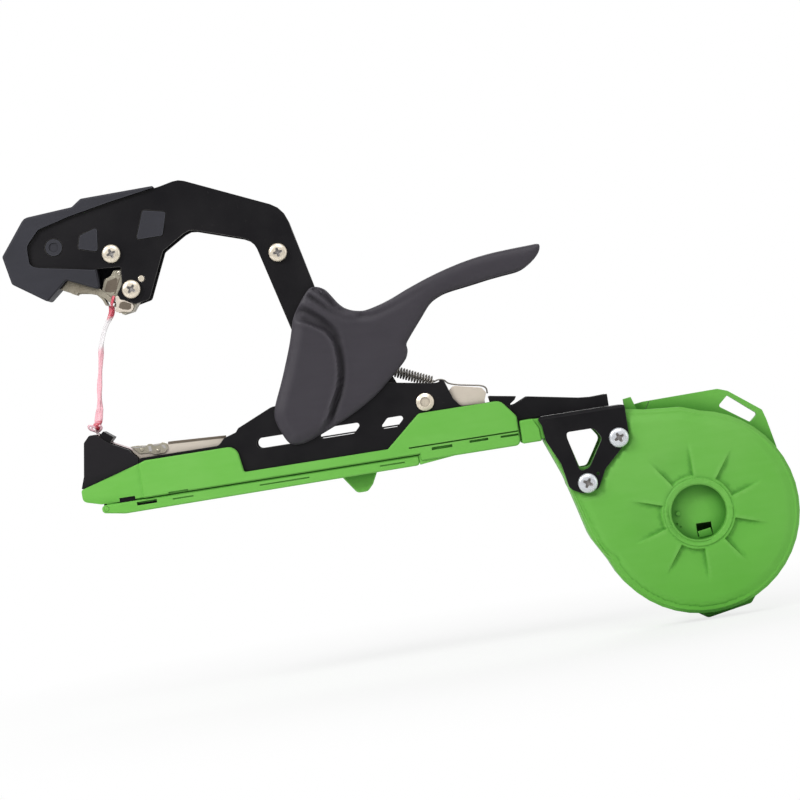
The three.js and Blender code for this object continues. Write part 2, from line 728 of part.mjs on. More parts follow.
const clipLift = tapeThickness + 2 * fitGap;
const clipOutline = clipShares.map(([alongShare, upShare]) => {
  const x = -noseReach + clipInset + alongShare * clipLength;
  return [x, noseTopAt(x) + clipLift + upShare * clipLength, fitGap];
});
const clipEars = [-1, 1].map((side) => {
  const inner = clipWidth / 2 - clipEar;
  const [yLow, yHigh] = side > 0 ? [inner, clipWidth / 2] : [-clipWidth / 2, -inner];
  const [[frontX, frontZ], , , [rearX, rearZ]] = clipOutline;
  const earLow = rearZ - clipEarDepth;
  const ear = [[frontX, frontZ + clipEar], [rearX, rearZ + clipEar], [rearX, earLow], [frontX, earLow]];
  return { body: slab(ear, yLow, yHigh), pocket: slab(grown(ear, fitGap), yLow - fitGap, yHigh + fitGap) };
});

const doorEar = joined(
  disc(doorPin, doorKnuckleRadius, -doorEarHalfWidth, doorEarHalfWidth),
  box([doorPin[0] - doorKnuckleRadius, doorPin[0] + doorKnuckleRadius], [-doorEarHalfWidth, doorEarHalfWidth],
    [doorPin[1], -frameDepth + overrun]),
);

part('front_block', darkPlastic(), pierced(
  joined(
    tapered(slab(noseOutline, -frameHalf, frameHalf), frameHalf),
    box([noseRear - overrun, noseRear + noseTongueLength], [-guideHalf, guideHalf],
      [floorTop + fitGap, -deckFloorDrop - deckWall - fitGap]),
    doorEar,
  ),
  box([exitSlotFront, noseRear + noseTongueLength + overrun], [-railHalf - fitGap, railHalf + fitGap],
    [-frameDepth - overrun, railTop + fitGap]),
  box([exitSlotFront, railFront], [-railInner, railInner], [-frameDepth - overrun, noseTopRise + overrun]),
  disc(doorPin, doorPinRadius + fitGap, -wayThrough, wayThrough),
  ...clipEars.map(({ pocket }) => pocket),
));

part('tape_clip', blackSteel(), joined(
  slab(clipOutline, -clipWidth / 2, clipWidth / 2), ...clipEars.map(({ body }) => body),
));

// Tape deck
const deckHalf = tapeWidth / 2 + fitGap + deckWall;
const deckFront = -frameReach - deckOverlap;
const deckRear = deckFront + deckLength;
const deckOutline = [
  [deckFront, -deckFloorDrop - deckWall], [deckFront, deckFrontRise, deckWall],
  [deckRear, -deckRearDrop, deckWall], [deckRear, -deckFloorDrop - deckWall],
];
part('tape_deck', brightSteel(), pierced(
  slab(deckOutline, -deckHalf, deckHalf),
  box([-beyond, beyond], [deckWall - deckHalf, deckHalf - deckWall], [-deckFloorDrop, beyond]),
  slab(grown(noseOutline, fitGap), -wayThrough, wayThrough),
));

// Magazine: rail, staples, driver, rod, pusher and its spring
const rodLevel = (railLow + railRoof) / 2;
const stickFront = railFront + fitGap;
const stickRear = stickFront + stickLength;
const stapleLow = railLow + fitGap;
const pusherRear = stickRear + fitGap + pusherLength;

function rodAlongX(radius, xLow, xHigh) {
  const geometry = new THREE.CylinderGeometry(radius, radius, xHigh - xLow, smallSides);
  geometry.rotateZ(Math.PI / 2).translate((xLow + xHigh) / 2, 0, rodLevel);
  return solid(geometry);
}

part('magazine_rail', brightSteel(), pierced(
  box([railFront, railTail], [-railHalf, railHalf], [railLow, railTop]),
  box([railFront - overrun, railTail - railWall], [-railInner, railInner], [railLow - overrun, railRoof]),
  rodAlongX(rodRadius + fitGap, railTail - overrun, railTail + overrun),
));

const [stapleHalf, stapleTop] = [stapleWidth / 2, stapleLow + stapleHeight];
const [legInner, crownTop] = [stapleHalf - stapleWire, stapleLow + stapleWire];
part('staple_stick', brightSteel(), rail([
  [-stapleHalf, stapleLow], [stapleHalf, stapleLow], [stapleHalf, stapleTop], [legInner, stapleTop],
  [legInner, crownTop], [-legInner, crownTop], [-legInner, stapleTop], [-stapleHalf, stapleTop],
], stickFront, stickRear));

part('driver_blade', brightSteel(), box(
  [exitSlotFront + fitGap, exitSlotFront + fitGap + driverThickness], [-stapleHalf, stapleHalf],
  [fitGap - frameDepth, railRoof],
));

part('pusher_rod', brightSteel(), rodAlongX(rodRadius, stickFront, railTail + 2 * railWall));

part('staple_pusher', darkPlastic(), pierced(
  box([stickRear + fitGap, pusherRear], [-stapleHalf, stapleHalf], [stapleLow, stapleTop]),
  rodAlongX(rodRadius + runGap, stickRear - overrun, pusherRear + overrun),
));

const pusherSpringPath = coilPath(
  new THREE.Vector3(pusherRear + fitGap + springWire / 2, 0, rodLevel),
  new THREE.Vector3(railTail - railWall - fitGap - springWire / 2, 0, rodLevel),
  (rodRadius + railInner) / 2, springCurls,
);
leastCoilGap('pusher_spring', pusherSpringPath, springWire);
part('pusher_spring', springSteel(), wireAlong(pusherSpringPath, springWire));

// Side shells, open in the middle of the underside for the magazine door
const shellInner = frameHalf + fitGap;
const doorFront = -noseReach + doorInset;
const shellOutline = [
  [-noseReach, shellNoseFillet - shellBottomDrop, shellNoseFillet], [-noseReach, -shellNoseDrop, shellCorner],
  [-frameReach, -shellCreaseDrop, shellNoseFillet],
  [shellCreaseLength - frameReach, -shellFrontDrop, shellNoseFillet],
  [-shellFrontEnd - shellFrontStep, -shellFrontDrop, 2 * shellNoseFillet],
  [-shellFrontEnd, -shellStripDrop, shellCorner], [-shellRearStart, -shellStripDrop, shellCorner],
  [shellRamp - shellRearStart, -shellRearDrop, shellNoseFillet],
  [shellRear - shellStep - shellEdge, -shellRearDrop, 2 * shellNoseFillet],
  [shellRear, -shellRearDrop - shellStep - shellNoseFillet, shellNoseFillet],
  [shellRear, -shellHeelDrop, shellNoseFillet], [-shellHeelReach, -shellHeelDrop, shellCorner],
  [-shellHeelReach, -shellBottomDrop, 0], [doorFront, -shellBottomDrop, shellNoseFillet],
];
const shellSkin = tapered(slab(shellOutline, -shellHalf, shellHalf, shellEdge), shellHalf);
const shellHollow = joined(
  tapered(
    box([-noseReach - overrun, shellRear + overrun], [-shellInner, shellInner], [-frameDepth - fitGap, beyond]),
    shellInner,
  ),
  box([-shellHeelReach + shellWall, shellRear + overrun], [-shellInner, shellInner],
    [-shellHeelDrop + shellWall, beyond]),
  box([doorFront, beyond], [-bayHalfWidth - framePlate, bayHalfWidth + framePlate], [-beyond, beyond]),
);
const shells = pierced(shellSkin, shellHollow);
for (const [name, side] of [['shell_near', -1], ['shell_far', 1]]) {
  const halfWidth = side < 0 ? [-beyond, -fitGap / 2] : [fitGap / 2, beyond];
  part(name, greenPlastic(), shells.intersect(box([-beyond, beyond], halfWidth, [-beyond, beyond])));
}

// Magazine door, hinged at its front under the nose
const doorHalf = shellHalf - shellEdge;
const doorTop = -shellBottomDrop - doorGap;
const doorLow = doorTop - doorDepth;
const doorRear = -shellHeelReach - doorEndGap;
const doorOutline = [
  [doorFront, doorTop, doorKnuckleRadius], [doorFront, doorTop - 2 * doorKnuckleRadius, doorKnuckleRadius],
  [doorFront + 2 * doorDepth, doorLow, doorDepth], [doorRear, doorLow + doorTaper, doorWall],
  [doorRear, doorTop, 0],
];
const lugOutline = placed(doorLugShares, [-doorLugReach, doorLow + doorTaper], doorLugLength, doorLugDrop);
part('magazine_door', greenPlastic(), pierced(
  joined(
    pierced(
      slab(doorOutline, -doorHalf, doorHalf, shellEdge),
      box([doorFront + 2 * doorDepth, doorRear - doorWall], [doorWall - doorHalf, doorHalf - doorWall],
        [doorLow + doorTaper + doorWall, beyond]),
    ),
    slab(lugOutline, -doorLugThickness / 2, doorLugThickness / 2, shellEdge),
  ),
  box([doorFront - overrun, doorPin[0] + 2 * doorKnuckleRadius],
    [-doorEarHalfWidth - runGap, doorEarHalfWidth + runGap], [-beyond, beyond]),
  disc(doorPin, doorPinRadius + runGap, -shellHalf - overrun, shellHalf + overrun),
));
part('door_pin', brightSteel(), disc(doorPin, doorPinRadius, -doorHalf, doorHalf));

// Rear block, clear of the bracket behind it
const bracketAt = (shares) => placed(shares, [bracketFront, bracketTop], bracketWidth, bracketDrop);
const bracketOutline = bracketAt(bracketShares);
const rearBlockAt = [shellRear + rearBlockGap, bracketTop - rearBlockDepth];
part('rear_block', darkPlastic(), pierced(
  slab(placed(rearBlockShares, rearBlockAt, rearBlockLength, rearBlockDepth), -shellHalf, shellHalf, shellEdge),
  slab(grown(bracketOutline, fitGap), -beyond, beyond),
));

// Upper arm: two plates joined by a folded web along the outer edge
const armAt = (shares) => placed(shares, [0, 0], armReach, armRise);
const rootAt = (shares) => placed(shares, [0, 0], linkBack, linkRise);
const jawCorner = [-armReach - headOverhang, armRise - headDrop];
const jawAt = (shares) => placed(shares, jawCorner, headLength, headHeight);
const [knee] = rootAt([armKneeShares]);
const tangentAngle = Math.atan2(knee[1], knee[0]) + Math.acos(armBossRadius / Math.hypot(knee[0], knee[1]));
const bossTangent = [armBossRadius * Math.cos(tangentAngle), armBossRadius * Math.sin(tangentAngle)];
const armOutline = [
  ...jawAt(armJawTopShares), ...armAt(armBendTopShares), ...rootAt(armRootRearShares), bossTangent, knee,
  ...armAt(armBendLowShares), ...jawAt(armJawLowShares),
];
const armPlates = [[-armHalf, -armInner], [armInner, armHalf]].map(([yLow, yHigh]) => joined(
  slab(armOutline, yLow, yHigh), disc([0, 0], armBossRadius, yLow, yHigh, bossSides),
));
const armWindows = armWindowShares.map((shares) => (
  jawAt(shares.map(([along, up]) => [along, up, armWindowFilletShare]))
));
const [bossHole, catchPivot, frontScrew, lowerScrew] = jawAt(
  [armBossHoleShares, catchPivotShares, jawScrewShares.front, jawScrewShares.lower],
);
const [rearScrew] = armAt([rearScrewShares]);
const armScrews = [['front', frontScrew], ['lower', lowerScrew], ['rear', rearScrew]];
const springPin = [-springPinBack, springPinRise];
part('clincher_arm', blackSteel(), pierced(
  joined(...armPlates, slab(band(armOutline, armWebCorners, armPlate), -armHalf, armHalf)),
  ...armWindows.map((corners) => slab(corners, -wayThrough, wayThrough)),
  disc(bossHole, armBossHoleRadius, -wayThrough, wayThrough, midSides),
  ...armScrews.map(([, place]) => disc(place, armScrew.shank + fitGap, -wayThrough, wayThrough)),
  disc([0, 0], pivotPinRadius + runGap, -wayThrough, wayThrough),
  disc(linkPin, linkPinRadius + runGap, -wayThrough, wayThrough),
  disc(springPin, springPinRadius + fitGap, -wayThrough, wayThrough),
  disc(catchPivot, catchPinRadius + fitGap, -wayThrough, wayThrough),
));

// Pivot rivet with a dished head on each side
const rivetSeat = frameHalf + fitGap;
const rivetEnd = rivetSeat + rivetHeadHeight;
const rivetProfile = [
  [0, rivetEnd - rivetDish], [rivetDishRadius, rivetEnd - rivetDish], [rivetDishRadius, rivetEnd],
  [rivetHeadRadius, rivetEnd - rivetDish], [rivetHeadRadius, rivetSeat], [pivotPinRadius, rivetSeat],
];
part('arm_pivot_pin', brightSteel(), spun(
  [0, 0], [...rivetProfile, ...rivetProfile.map(([radius, y]) => [radius, -y]).reverse()],
));

// What turns or sits under the head, and the room that it takes
const clincherOutline = placed(clincherShares, lowerScrew, clincherSize);
const catchJaw = placed(catchJawShares, catchPivot, catchSize);
const catchLever = placed(catchLeverShares, catchPivot, catchSize);
const catchRoomHalf = catchJawHalfWidth + runGap;
const catchRooms = [0, catchSwing / 2, catchSwing].flatMap((angle) => {
  const swung = ([x, z, radius]) => [...turned([x, z], catchPivot, -angle), radius];
  return [catchJaw, catchLever].map((outline) => (
    slab(grown(outline, runGap).map(swung), -catchRoomHalf, catchRoomHalf)
  ));
});

// Jaw head: outer body round the arm's plates, a tongue between them and bosses through the windows
const headHalf = armHalf + headCheek;
const headOutline = jawAt(headShares);
const bossTop = armHalf + headBossRise;
const headPockets = [[-wayThrough, -tongueHalf], [tongueHalf, wayThrough]].map(([yLow, yHigh]) => (
  slab(grown(armOutline, fitGap), yLow, yHigh)
));
part('jaw_head', darkPlastic(), pierced(
  joined(
    pierced(slab(headOutline, -headHalf, headHalf, headBevel), ...headPockets),
    ...armWindows.map((corners) => slab(grown(corners, -fitGap), -bossTop, bossTop)),
    disc(bossHole, armBossHoleRadius - fitGap, -bossTop, bossTop, midSides),
  ),
  ...armScrews.map(([, place]) => disc(place, armScrew.shank + fitGap, -wayThrough, wayThrough)),
  ...catchRooms,
  slab(grown(clincherOutline, fitGap), -tongueHalf - fitGap, tongueHalf + fitGap),
  disc(bossHole, armBossDimple, -wayThrough, -armHalf),
  disc(bossHole, armBossDimple, armHalf, wayThrough),
));

// Clincher on the lower screw, with the saw blade on its front face
const clincherEarLow = lowerScrew[1] + clincherEarShare * clincherSize;
const anvilPlace = clincherOutline[1];
part('clincher_plate', brightSteel(), pierced(
  slab(clincherOutline, -tongueHalf, tongueHalf),
  ...catchRooms,
  box([-beyond, beyond], [-clincherEarGap, clincherEarGap], [clincherEarLow, beyond]),
  box([anvilPlace[0] + anvilDepth, anvilPlace[0] + anvilLength], [-stapleHalf, stapleHalf],
    [0, anvilPlace[1] + anvilDepth]),
  disc(lowerScrew, armScrew.shank + fitGap, -wayThrough, wayThrough),
));

const [bladeFoot, bladeHead] = [clincherOutline[0], clincherOutline.at(-1)];
const bladeLean = Math.atan2(bladeHead[0] - bladeFoot[0], bladeHead[1] - bladeFoot[1]);
const toothWidth = (2 * catchJawHalfWidth) / bladeTeeth;
const bladeNotches = Array.from({ length: bladeTeeth }, (_, i) => {
  const middle = (i + 1 / 2) * toothWidth - catchJawHalfWidth;
  const [mouth, root] = [-bladeDrop - bladeToothDepth, bladeToothDepth - bladeDrop];
  return rail(
    [[middle - toothWidth / 2, mouth], [middle + toothWidth / 2, mouth], [middle, root]], -overrun, overrun,
  );
});
const bladeTop = bladeLength - bladeDrop;
const bladeBody = pierced(
  box([-fitGap - bladeThickness, -fitGap], [-catchJawHalfWidth, catchJawHalfWidth], [-bladeDrop, bladeTop]),
  ...bladeNotches,
);
part('cutter_blade', brightSteel(), bladeBody.rotate([0, THREE.MathUtils.radToDeg(bladeLean), 0])
  .translate([bladeFoot[0], 0, bladeFoot[1]]));

// Tape catch and the guard in front of it
part('tape_catch', brightSteel(), pierced(
  joined(
    slab(catchJaw, -catchJawHalfWidth, catchJawHalfWidth),
    slab(catchLever, -catchLeverHalfWidth, catchLeverHalfWidth),
  ),
  disc(catchPivot, catchPinRadius + runGap, -wayThrough, wayThrough),
));
part('catch_pin', brightSteel(), disc(catchPivot, catchPinRadius, -armHalf, armHalf));
part('blade_guard', brightSteel(), pierced(
  slab(jawAt(guardShares), -guardHalfWidth, guardHalfWidth),
  slab(grown(headOutline, fitGap), -wayThrough, wayThrough),
));

// Screws with a cross recess, and their nuts
function crossRecess([x, z], { headRadius, recess, recessDepth }, top) {
  const length = recessArmShare * headRadius;
  const depth = [top - overrun, top + recessDepth];
  return joined(
    box([x - length, x + length], depth, [z - recess / 2, z + recess / 2]),
    box([x - recess / 2, x + recess / 2], depth, [z - length, z + length]),
  );
}

function fasten(screwName, nutName, place, size, halfWidth) {
  const seat = -halfWidth - fitGap;
  const top = seat - size.headHeight;
  const nutLow = halfWidth + fitGap;
  const end = nutLow + size.nutHeight + threadOverhang;
  const profile = [
    [0, top], [size.headRadius - size.headHeight / 2, top], [size.headRadius, top + size.headHeight / 2],
    [size.headRadius, seat], [size.shank, seat], [size.shank, end], [0, end],
  ];
  part(screwName, brightSteel(), pierced(spun(place, profile), crossRecess(place, size, top)));
  const nut = disc(place, size.nutFlat / Math.sqrt(3), nutLow, nutLow + size.nutHeight, 6);
  part(nutName, brightSteel(), pierced(nut, disc(place, size.shank + fitGap, -wayThrough, end + overrun)));
}

armScrews.forEach(([name, place]) => fasten(`arm_screw_${name}`, `arm_nut_${name}`, place, armScrew, armHalf));
part('arm_spacer', brightSteel(), pierced(
  disc(rearScrew, armScrew.shank + fitGap + spacerWall, -tongueHalf, tongueHalf),
  disc(rearScrew, armScrew.shank + fitGap, -wayThrough, wayThrough),
));

// Handle: two cheeks joined by a web over the grip and by ribs inside it
const handleOutline = placed(handleShares, slotPin, handleLength, handleHeight);
const panelOutline = placed(handlePanelShares, slotPin, handleLength, handleHeight);
const panelHalf = handleHalf + handlePanelRise;
const handleSeat = handleInner + pinSeatDepth;
const handleRibs = handleRibShares.map((share) => {
  const middle = slotPin[0] + share * handleLength;
  return box([middle - handleRib / 2, middle + handleRib / 2], [-handleHalf, handleHalf], [0, beyond]);
});
const handleRoom = pierced(
  box([-beyond, beyond], [-handleInner, handleInner], [-beyond, beyond]),
  slab(band(handleOutline, handleWebCorners, handleWeb), -handleHalf, handleHalf),
  ...handleRibs,
);
part('operating_handle', gripPlastic(), pierced(
  joined(
    slab(handleOutline, -handleHalf, handleHalf, handleBevel),
    slab(panelOutline, -panelHalf, panelHalf, handlePanelRise),
  ),
  handleRoom,
  disc(linkPin, linkPinRadius + runGap, -handleSeat, panelHalf + overrun),
  disc(slotPin, slotPinRadius + runGap, -handleSeat, panelHalf + overrun),
));
part('link_pin', brightSteel(), disc(linkPin, linkPinRadius, fitGap - handleSeat, handleHalf));
part('slot_pin', brightSteel(), disc(slotPin, slotPinRadius, fitGap - handleSeat, handleHalf));

// Return spring from the arm's heel to its anchor
const anchorBase = anchorTopRise - anchorHeight;
const anchorOutline = placed(anchorShares, [anchorFront, anchorBase], anchorLength, anchorHeight);
part('spring_anchor', brightSteel(), pierced(
  slab(anchorOutline, -guideHalf, guideHalf),
  slab(anchorOutline, anchorWall - guideHalf, guideHalf - anchorWall).translate([0, 0, -anchorWall]),
  box([anchorFront, anchorFront + anchorLength], [anchorWall - guideHalf, guideHalf - anchorWall],
    [anchorBase - overrun, anchorBase + anchorWall]),
));
part('spring_pin', brightSteel(), disc(springPin, springPinRadius, -armHalf, armHalf));

const inPlane = ([x, z]) => new THREE.Vector3(x, 0, z);
const hookRadius = springPinRadius + fitGap + returnWire / 2;
const returnHook = arcCorners(springPin, hookRadius, hookFrom, hookTo).map(inPlane);
const [coilStart, coilEnd] = placed(returnCoilShares, [0, 0], springPinBack, springPinRise).map(inPlane);
const returnPath = [
  ...returnHook, ...coilPath(coilStart, coilEnd, returnCoilRadius, returnCurls),
  ...placed(returnTailShares, [anchorFront, anchorTopRise], anchorLength).map(inPlane),
];
leastCoilGap('return_spring', returnPath, returnWire);
part('return_spring', springSteel(), wireAlong(returnPath, returnWire));

// Tape guide behind the spring
const guideLow = -guideTopDrop - guideDepth;
const guideFloor = guideLow + guideWall;
const guideInner = guideHalf - guideWall;
const guideAt = (shares) => placed(shares, [guideFront, guideLow], guideRear - guideFront, guideDepth);
part('tape_guide', blackSteel(), pierced(
  slab(guideAt(guideShares), -guideHalf, guideHalf),
  pierced(
    box([guideFront - overrun, guideRear + overrun], [-guideInner, guideInner], [guideFloor, beyond]),
    slab(guideAt(guideRoofShares), -guideHalf, guideHalf),
  ),
  box([guideRear - guideMouthLength, guideRear + overrun], [-guideInner, guideInner], [-beyond, 0]),
));

// Reel bracket: two ears hanging from a web
const bracketWindow = bracketAt(bracketWindowShares);
const [bracketHole] = bracketAt([bracketHoleShares]);
const caseScrews = Object.entries(caseScrewShares).map(([name, shares]) => [name, bracketAt([shares])[0]]);
const tapeSlot = tapeSlotShares.map((share) => bracketFront + share * bracketWidth);
const tapeSlotHalf = tapeWidth / 2 + tapeSlotMargin;
part('reel_bracket', blackSteel(), pierced(
  slab(bracketOutline, -bracketHalf, bracketHalf),
  box([-beyond, beyond], [-bracketInner, bracketInner], [-beyond, bracketTop - bracketPlate]),
  box(tapeSlot, [-tapeSlotHalf, tapeSlotHalf], [-beyond, 0]),
  slab(bracketWindow, -bracketHalf - overrun, bracketHalf + overrun),
  disc(bracketHole, bracketHoleRadius, -bracketHalf - overrun, bracketHalf + overrun, smallSides),
  ...caseScrews.map(([, place]) => (
    disc(place, caseScrew.shank + fitGap, -bracketHalf - overrun, bracketHalf + overrun)
  )),
));
caseScrews.forEach(([name, place]) => (
  fasten(`bracket_screw_${name}`, `bracket_nut_${name}`, place, caseScrew, bracketHalf)
));

// Reel case: the near half and the fixed far cheek ahead of the hinge line; the cover is the rest
const caseOutline = [
  ...arcCorners(reelCentre, reelRadius, caseFrontAngle - 2 * Math.PI, caseTopAngle),
  ...placed(caseShares, reelCentre, reelRadius),
];
const caseInner = caseHalfWidth - caseWall;
const caseThrough = bracketHalf + overrun;
const [hingeTop] = placed([hingeTopShares], reelCentre, reelRadius);
const hingeDown = [-Math.cos(hingeTiltAngle), -Math.sin(hingeTiltAngle)];

function besideHinge(near, far, yLow, yHigh) {
  const corner = (along, off) => [
    hingeTop[0] + along * hingeDown[0] - off * hingeDown[1],
    hingeTop[1] + along * hingeDown[1] + off * hingeDown[0],
  ];
  return slab([
    corner(-beyond, near), corner(beyond, near), corner(beyond, far), corner(-beyond, far),
  ], yLow, yHigh);
}

function hingeRod(radius, from, to, sides = pinSides) {
  const geometry = new THREE.CylinderGeometry(radius, radius, to - from, sides);
  const middle = (from + to) / 2;
  geometry.rotateX(Math.PI / 2).rotateY(Math.PI / 2 - hingeTiltAngle);
  geometry.translate(hingeTop[0] + middle * hingeDown[0], caseHalfWidth, hingeTop[1] + middle * hingeDown[1]);
  return solid(geometry);
}

function ringOf(centre, inner, outer, yLow, yHigh) {
  const hole = disc(centre, inner, yLow - overrun, yHigh + overrun, wideSides);
  return pierced(disc(centre, outer, yLow, yHigh, wideSides), hole);
}

const caseShell = pierced(
  slab(caseOutline, -caseHalfWidth, caseHalfWidth, caseBevel),
  slab(grown(caseOutline, -caseWall), -caseInner, caseInner),
);
const hingeStart = hingeStartShare * reelRadius;
const knuckles = Array.from({ length: hingeKnuckles }, (_, i) => {
  const from = hingeStart + i * (hingeKnuckleLength + fitGap);
  return {
    body: hingeRod(hingeKnuckleRadius, from, from + hingeKnuckleLength),
    room: hingeRod(hingeKnuckleRadius + runGap, from - fitGap, from + hingeKnuckleLength + fitGap),
    onCase: i % 2 === 0,
  };
});
const caseKnuckles = knuckles.filter(({ onCase }) => onCase);
const coverKnuckles = knuckles.filter(({ onCase }) => !onCase);
const hingeLength = hingeKnuckles * (hingeKnuckleLength + fitGap) - fitGap;
const hingeBore = hingeRod(hingePinRadius + runGap, hingeStart - overrun, hingeStart + hingeLength + overrun);

function petalCutter(faceY, depth) {
  const [inner, outer] = [petalInnerShare * reelRadius, petalOuterShare * reelRadius];
  const above = faceY - Math.sign(depth) * overrun;
  const profile = [[inner, above], [outer, above], [outer, faceY], [inner, faceY + depth], [inner, above]];
  const cone = spun(reelCentre, profile, wideSides);
  const sectors = Array.from({ length: petals }, (_, k) => {
    const middle = (2 * Math.PI * (k + 1 / 2)) / petals;
    const edges = [-petalHalfAngle, petalHalfAngle].map((lean) => (
      turned([reelCentre[0] + reelRadius, reelCentre[1]], reelCentre, middle + lean)
    ));
    return slab([reelCentre, ...edges], -caseThrough, caseThrough);
  });
  return cone.intersect(joined(...sectors));
}

const hubFace = hubFloorDepth - caseHalfWidth;
const hubOuter = hubHoleRadius + hubWall;
const hubEnd = caseInner - coverSplit - fitGap;
const [hubNotchLow, hubNotchHigh] = placed(hubNotchShares, reelCentre, hubHoleRadius);
const [hubPip] = placed([hubPipShares], reelCentre, hubHoleRadius);
const caseWindowLow = Math.min(...bracketWindow.map(([, z]) => z)) + caseWindowRise;
const caseWindow = bracketWindow.map(([x, z, radius]) => [x, Math.max(z, caseWindowLow), radius]);
const nibOutline = placed(nibShares, reelCentre, reelRadius);
const caseHoles = caseScrews.map(([, place]) => (
  disc(place, caseScrew.shank + fitGap, -caseThrough, caseThrough)
));
const loopPlate = (shares) => pierced(
  slab(placed(shares, reelCentre, reelRadius), coverSplit / 2, coverSplit / 2 + loopThickness),
  disc(reelCentre, reelRadius - caseWall, -caseThrough, caseThrough, wideSides),
);
const aheadOfHinge = besideHinge(-beyond, -fitGap / 2, -caseThrough, caseThrough);
const behindHinge = besideHinge(fitGap / 2, beyond, coverSplit / 2, caseThrough);
part('reel_case', greenPlastic(), pierced(
  joined(
    caseShell.intersect(joined(
      box([-beyond, beyond], [-beyond, -coverSplit / 2], [-beyond, beyond]), aheadOfHinge,
    )),
    loopPlate(loopShares).intersect(aheadOfHinge),
    ringOf(reelCentre, hubHoleRadius, hubOuter, -caseHalfWidth + caseWall / 2, hubEnd),
    ringOf(reelCentre, hubHoleRadius, hubHoleRadius + hubRimWidth, -caseHalfWidth - hubRimRise, -caseInner),
    disc(reelCentre, hubHoleRadius + hubWall / 2, hubFace, hubFace + hubFloor, wideSides),
    disc(hubPip, hubPipRadius, hubFace - hubPipRadius, hubFace + hubFloor, smallSides),
    slab(nibOutline, -nibWidth, -coverSplit / 2),
    ...caseScrews.map(([, place]) => disc(place, casePostRadius, -caseInner - fitGap, caseInner + fitGap)),
    ...caseKnuckles.map(({ body }) => body),
  ),
  disc(reelCentre, hubHoleRadius, -caseThrough, hubFace - hubPipRadius, wideSides),
  ...coverKnuckles.map(({ room }) => room),
  hingeBore,
  petalCutter(-caseHalfWidth, petalDepth),
  slab(caseWindow, -caseThrough, caseThrough),
  box([hubNotchLow[0], hubNotchHigh[0]], [hubFace - overrun, hubFace + hubFloor + overrun],
    [hubNotchLow[1], hubNotchHigh[1]]),
  box(tapeSlot, [-tapeSlotHalf, tapeSlotHalf], [bracketTop - bracketPlate - 2 * overrun, 0]),
  ...caseHoles,
));

const loopSlot = placed(
  loopSlotShares.map(([along, up]) => [along, up, loopSlotFilletShare]), reelCentre, reelRadius,
);
part('reel_cover', greenPlastic(), pierced(
  joined(
    caseShell.intersect(behindHinge), loopPlate(loopShares).intersect(behindHinge), loopPlate(tabShares),
    ...coverKnuckles.map(({ body }) => body),
  ),
  ...caseScrews.map(([, place]) => disc(place, casePostRadius + runGap, -caseThrough, caseThrough)),
  slab(loopSlot, -caseThrough, caseThrough),
  ...caseKnuckles.map(({ room }) => room),
  hingeBore,
  petalCutter(caseHalfWidth, -petalDepth),
));
part('cover_pin', brightSteel(), hingeRod(hingePinRadius, hingeStart, hingeStart + hingeLength, smallSides));

const spoolInner = hubOuter + runGap;
part('spool_core', finish(0xb59a6e, 0.8, 0), ringOf(
  reelCentre, spoolInner, spoolInner + spoolWall, fitGap + runGap - caseInner, hubEnd - fitGap,
));
part('tape_roll', tapeFilm(), ringOf(
  reelCentre, spoolInner + spoolWall + fitGap, rollRadius, -tapeWidth / 2, tapeWidth / 2,
));

// Tape from the roll to the tip of the nose, and the strand drawn across the open jaws
function strip(path, thickness) {
  const last = path.length - 1;
  const side = (distance) => path.map(([x, z, radius = 0], i) => {
    const arriving = direction(path[Math.max(i - 1, 0)], path[Math.max(i, 1)]);
    const leaving = direction(path[Math.min(i, last - 1)], path[Math.min(i + 1, last)]);
    const normals = new THREE.Vector2(arriving.y + leaving.y, -arriving.x - leaving.x);
    const moved = new THREE.Vector2(x, z).addScaledVector(normals, (2 * distance) / normals.lengthSq());
    return [moved.x, moved.y, radius];
  });
  return [...side(thickness / 2), ...side(-thickness / 2).reverse()];
}

const tapeLift = fitGap + tapeThickness / 2;
const tapeUp = (tapeSlot[0] + tapeSlot[1]) / 2;
const [tipCorner, slopeCorner, stepCorner] = grown(noseOutline, tapeLift).slice(...noseSlopeCorners);
const tapePath = [
  [reelBack - rollRadius - tapeLift, reelCentre[1]], [tapeUp, bracketTop, tapeBend],
  [tapeUp, guideFloor + tapeLift, tapeBend], [guideFront, guideFloor + tapeLift, tapeBend],
  [anchorFront - tapeBend, railTop + tapeClear, tapeBend],
  [deckRear + tapeRampLength, railTop + tapeClear, tapeBend],
  [deckRear + tapeBend, -deckFloorDrop + tapeLift, tapeBend],
  [noseRear + tapeLift, -deckFloorDrop + tapeLift, tapeLift],
  stepCorner, slopeCorner, tipCorner, [tipCorner[0], tipCorner[1] + tapeBend],
];
part('tape_run', tapeFilm(), slab(strip(tapePath, tapeThickness), -tapeWidth / 2, tapeWidth / 2));

const strandStart = [tipCorner[0], tipCorner[1] + tapeBend + fitGap];
const strandEnd = [bladeFoot[0] - strandClear, bladeFoot[1] - bladeDrop];
const strandCurve = new THREE.CatmullRomCurve3(placed(
  strandShares, strandStart, strandEnd[0] - strandStart[0], strandEnd[1] - strandStart[1],
).map(inPlane));
const strandSection = (t) => {
  const thickness = strandThickness * (strandFlatShare + (1 - strandFlatShare) * Math.sin(Math.PI * t));
  const twist = strandTwist * Math.sin(Math.PI * t) ** 2;
  return roundSection(1, strandSides).map(([a, b]) => (
    turned([(a * strandWidth) / 2, (b * thickness) / 2], [0, 0], twist)
  ));
};
part('tape_strand', tapeFilm(), solid(sweptGeometry(strandCurve.getPoints(strandSteps), strandSection)));

export default tool;
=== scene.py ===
import math
import random

import bmesh
import bpy
from mathutils import Matrix, Vector
from mathutils.geometry import delaunay_2d_cdt
from mathutils.kdtree import KDTree


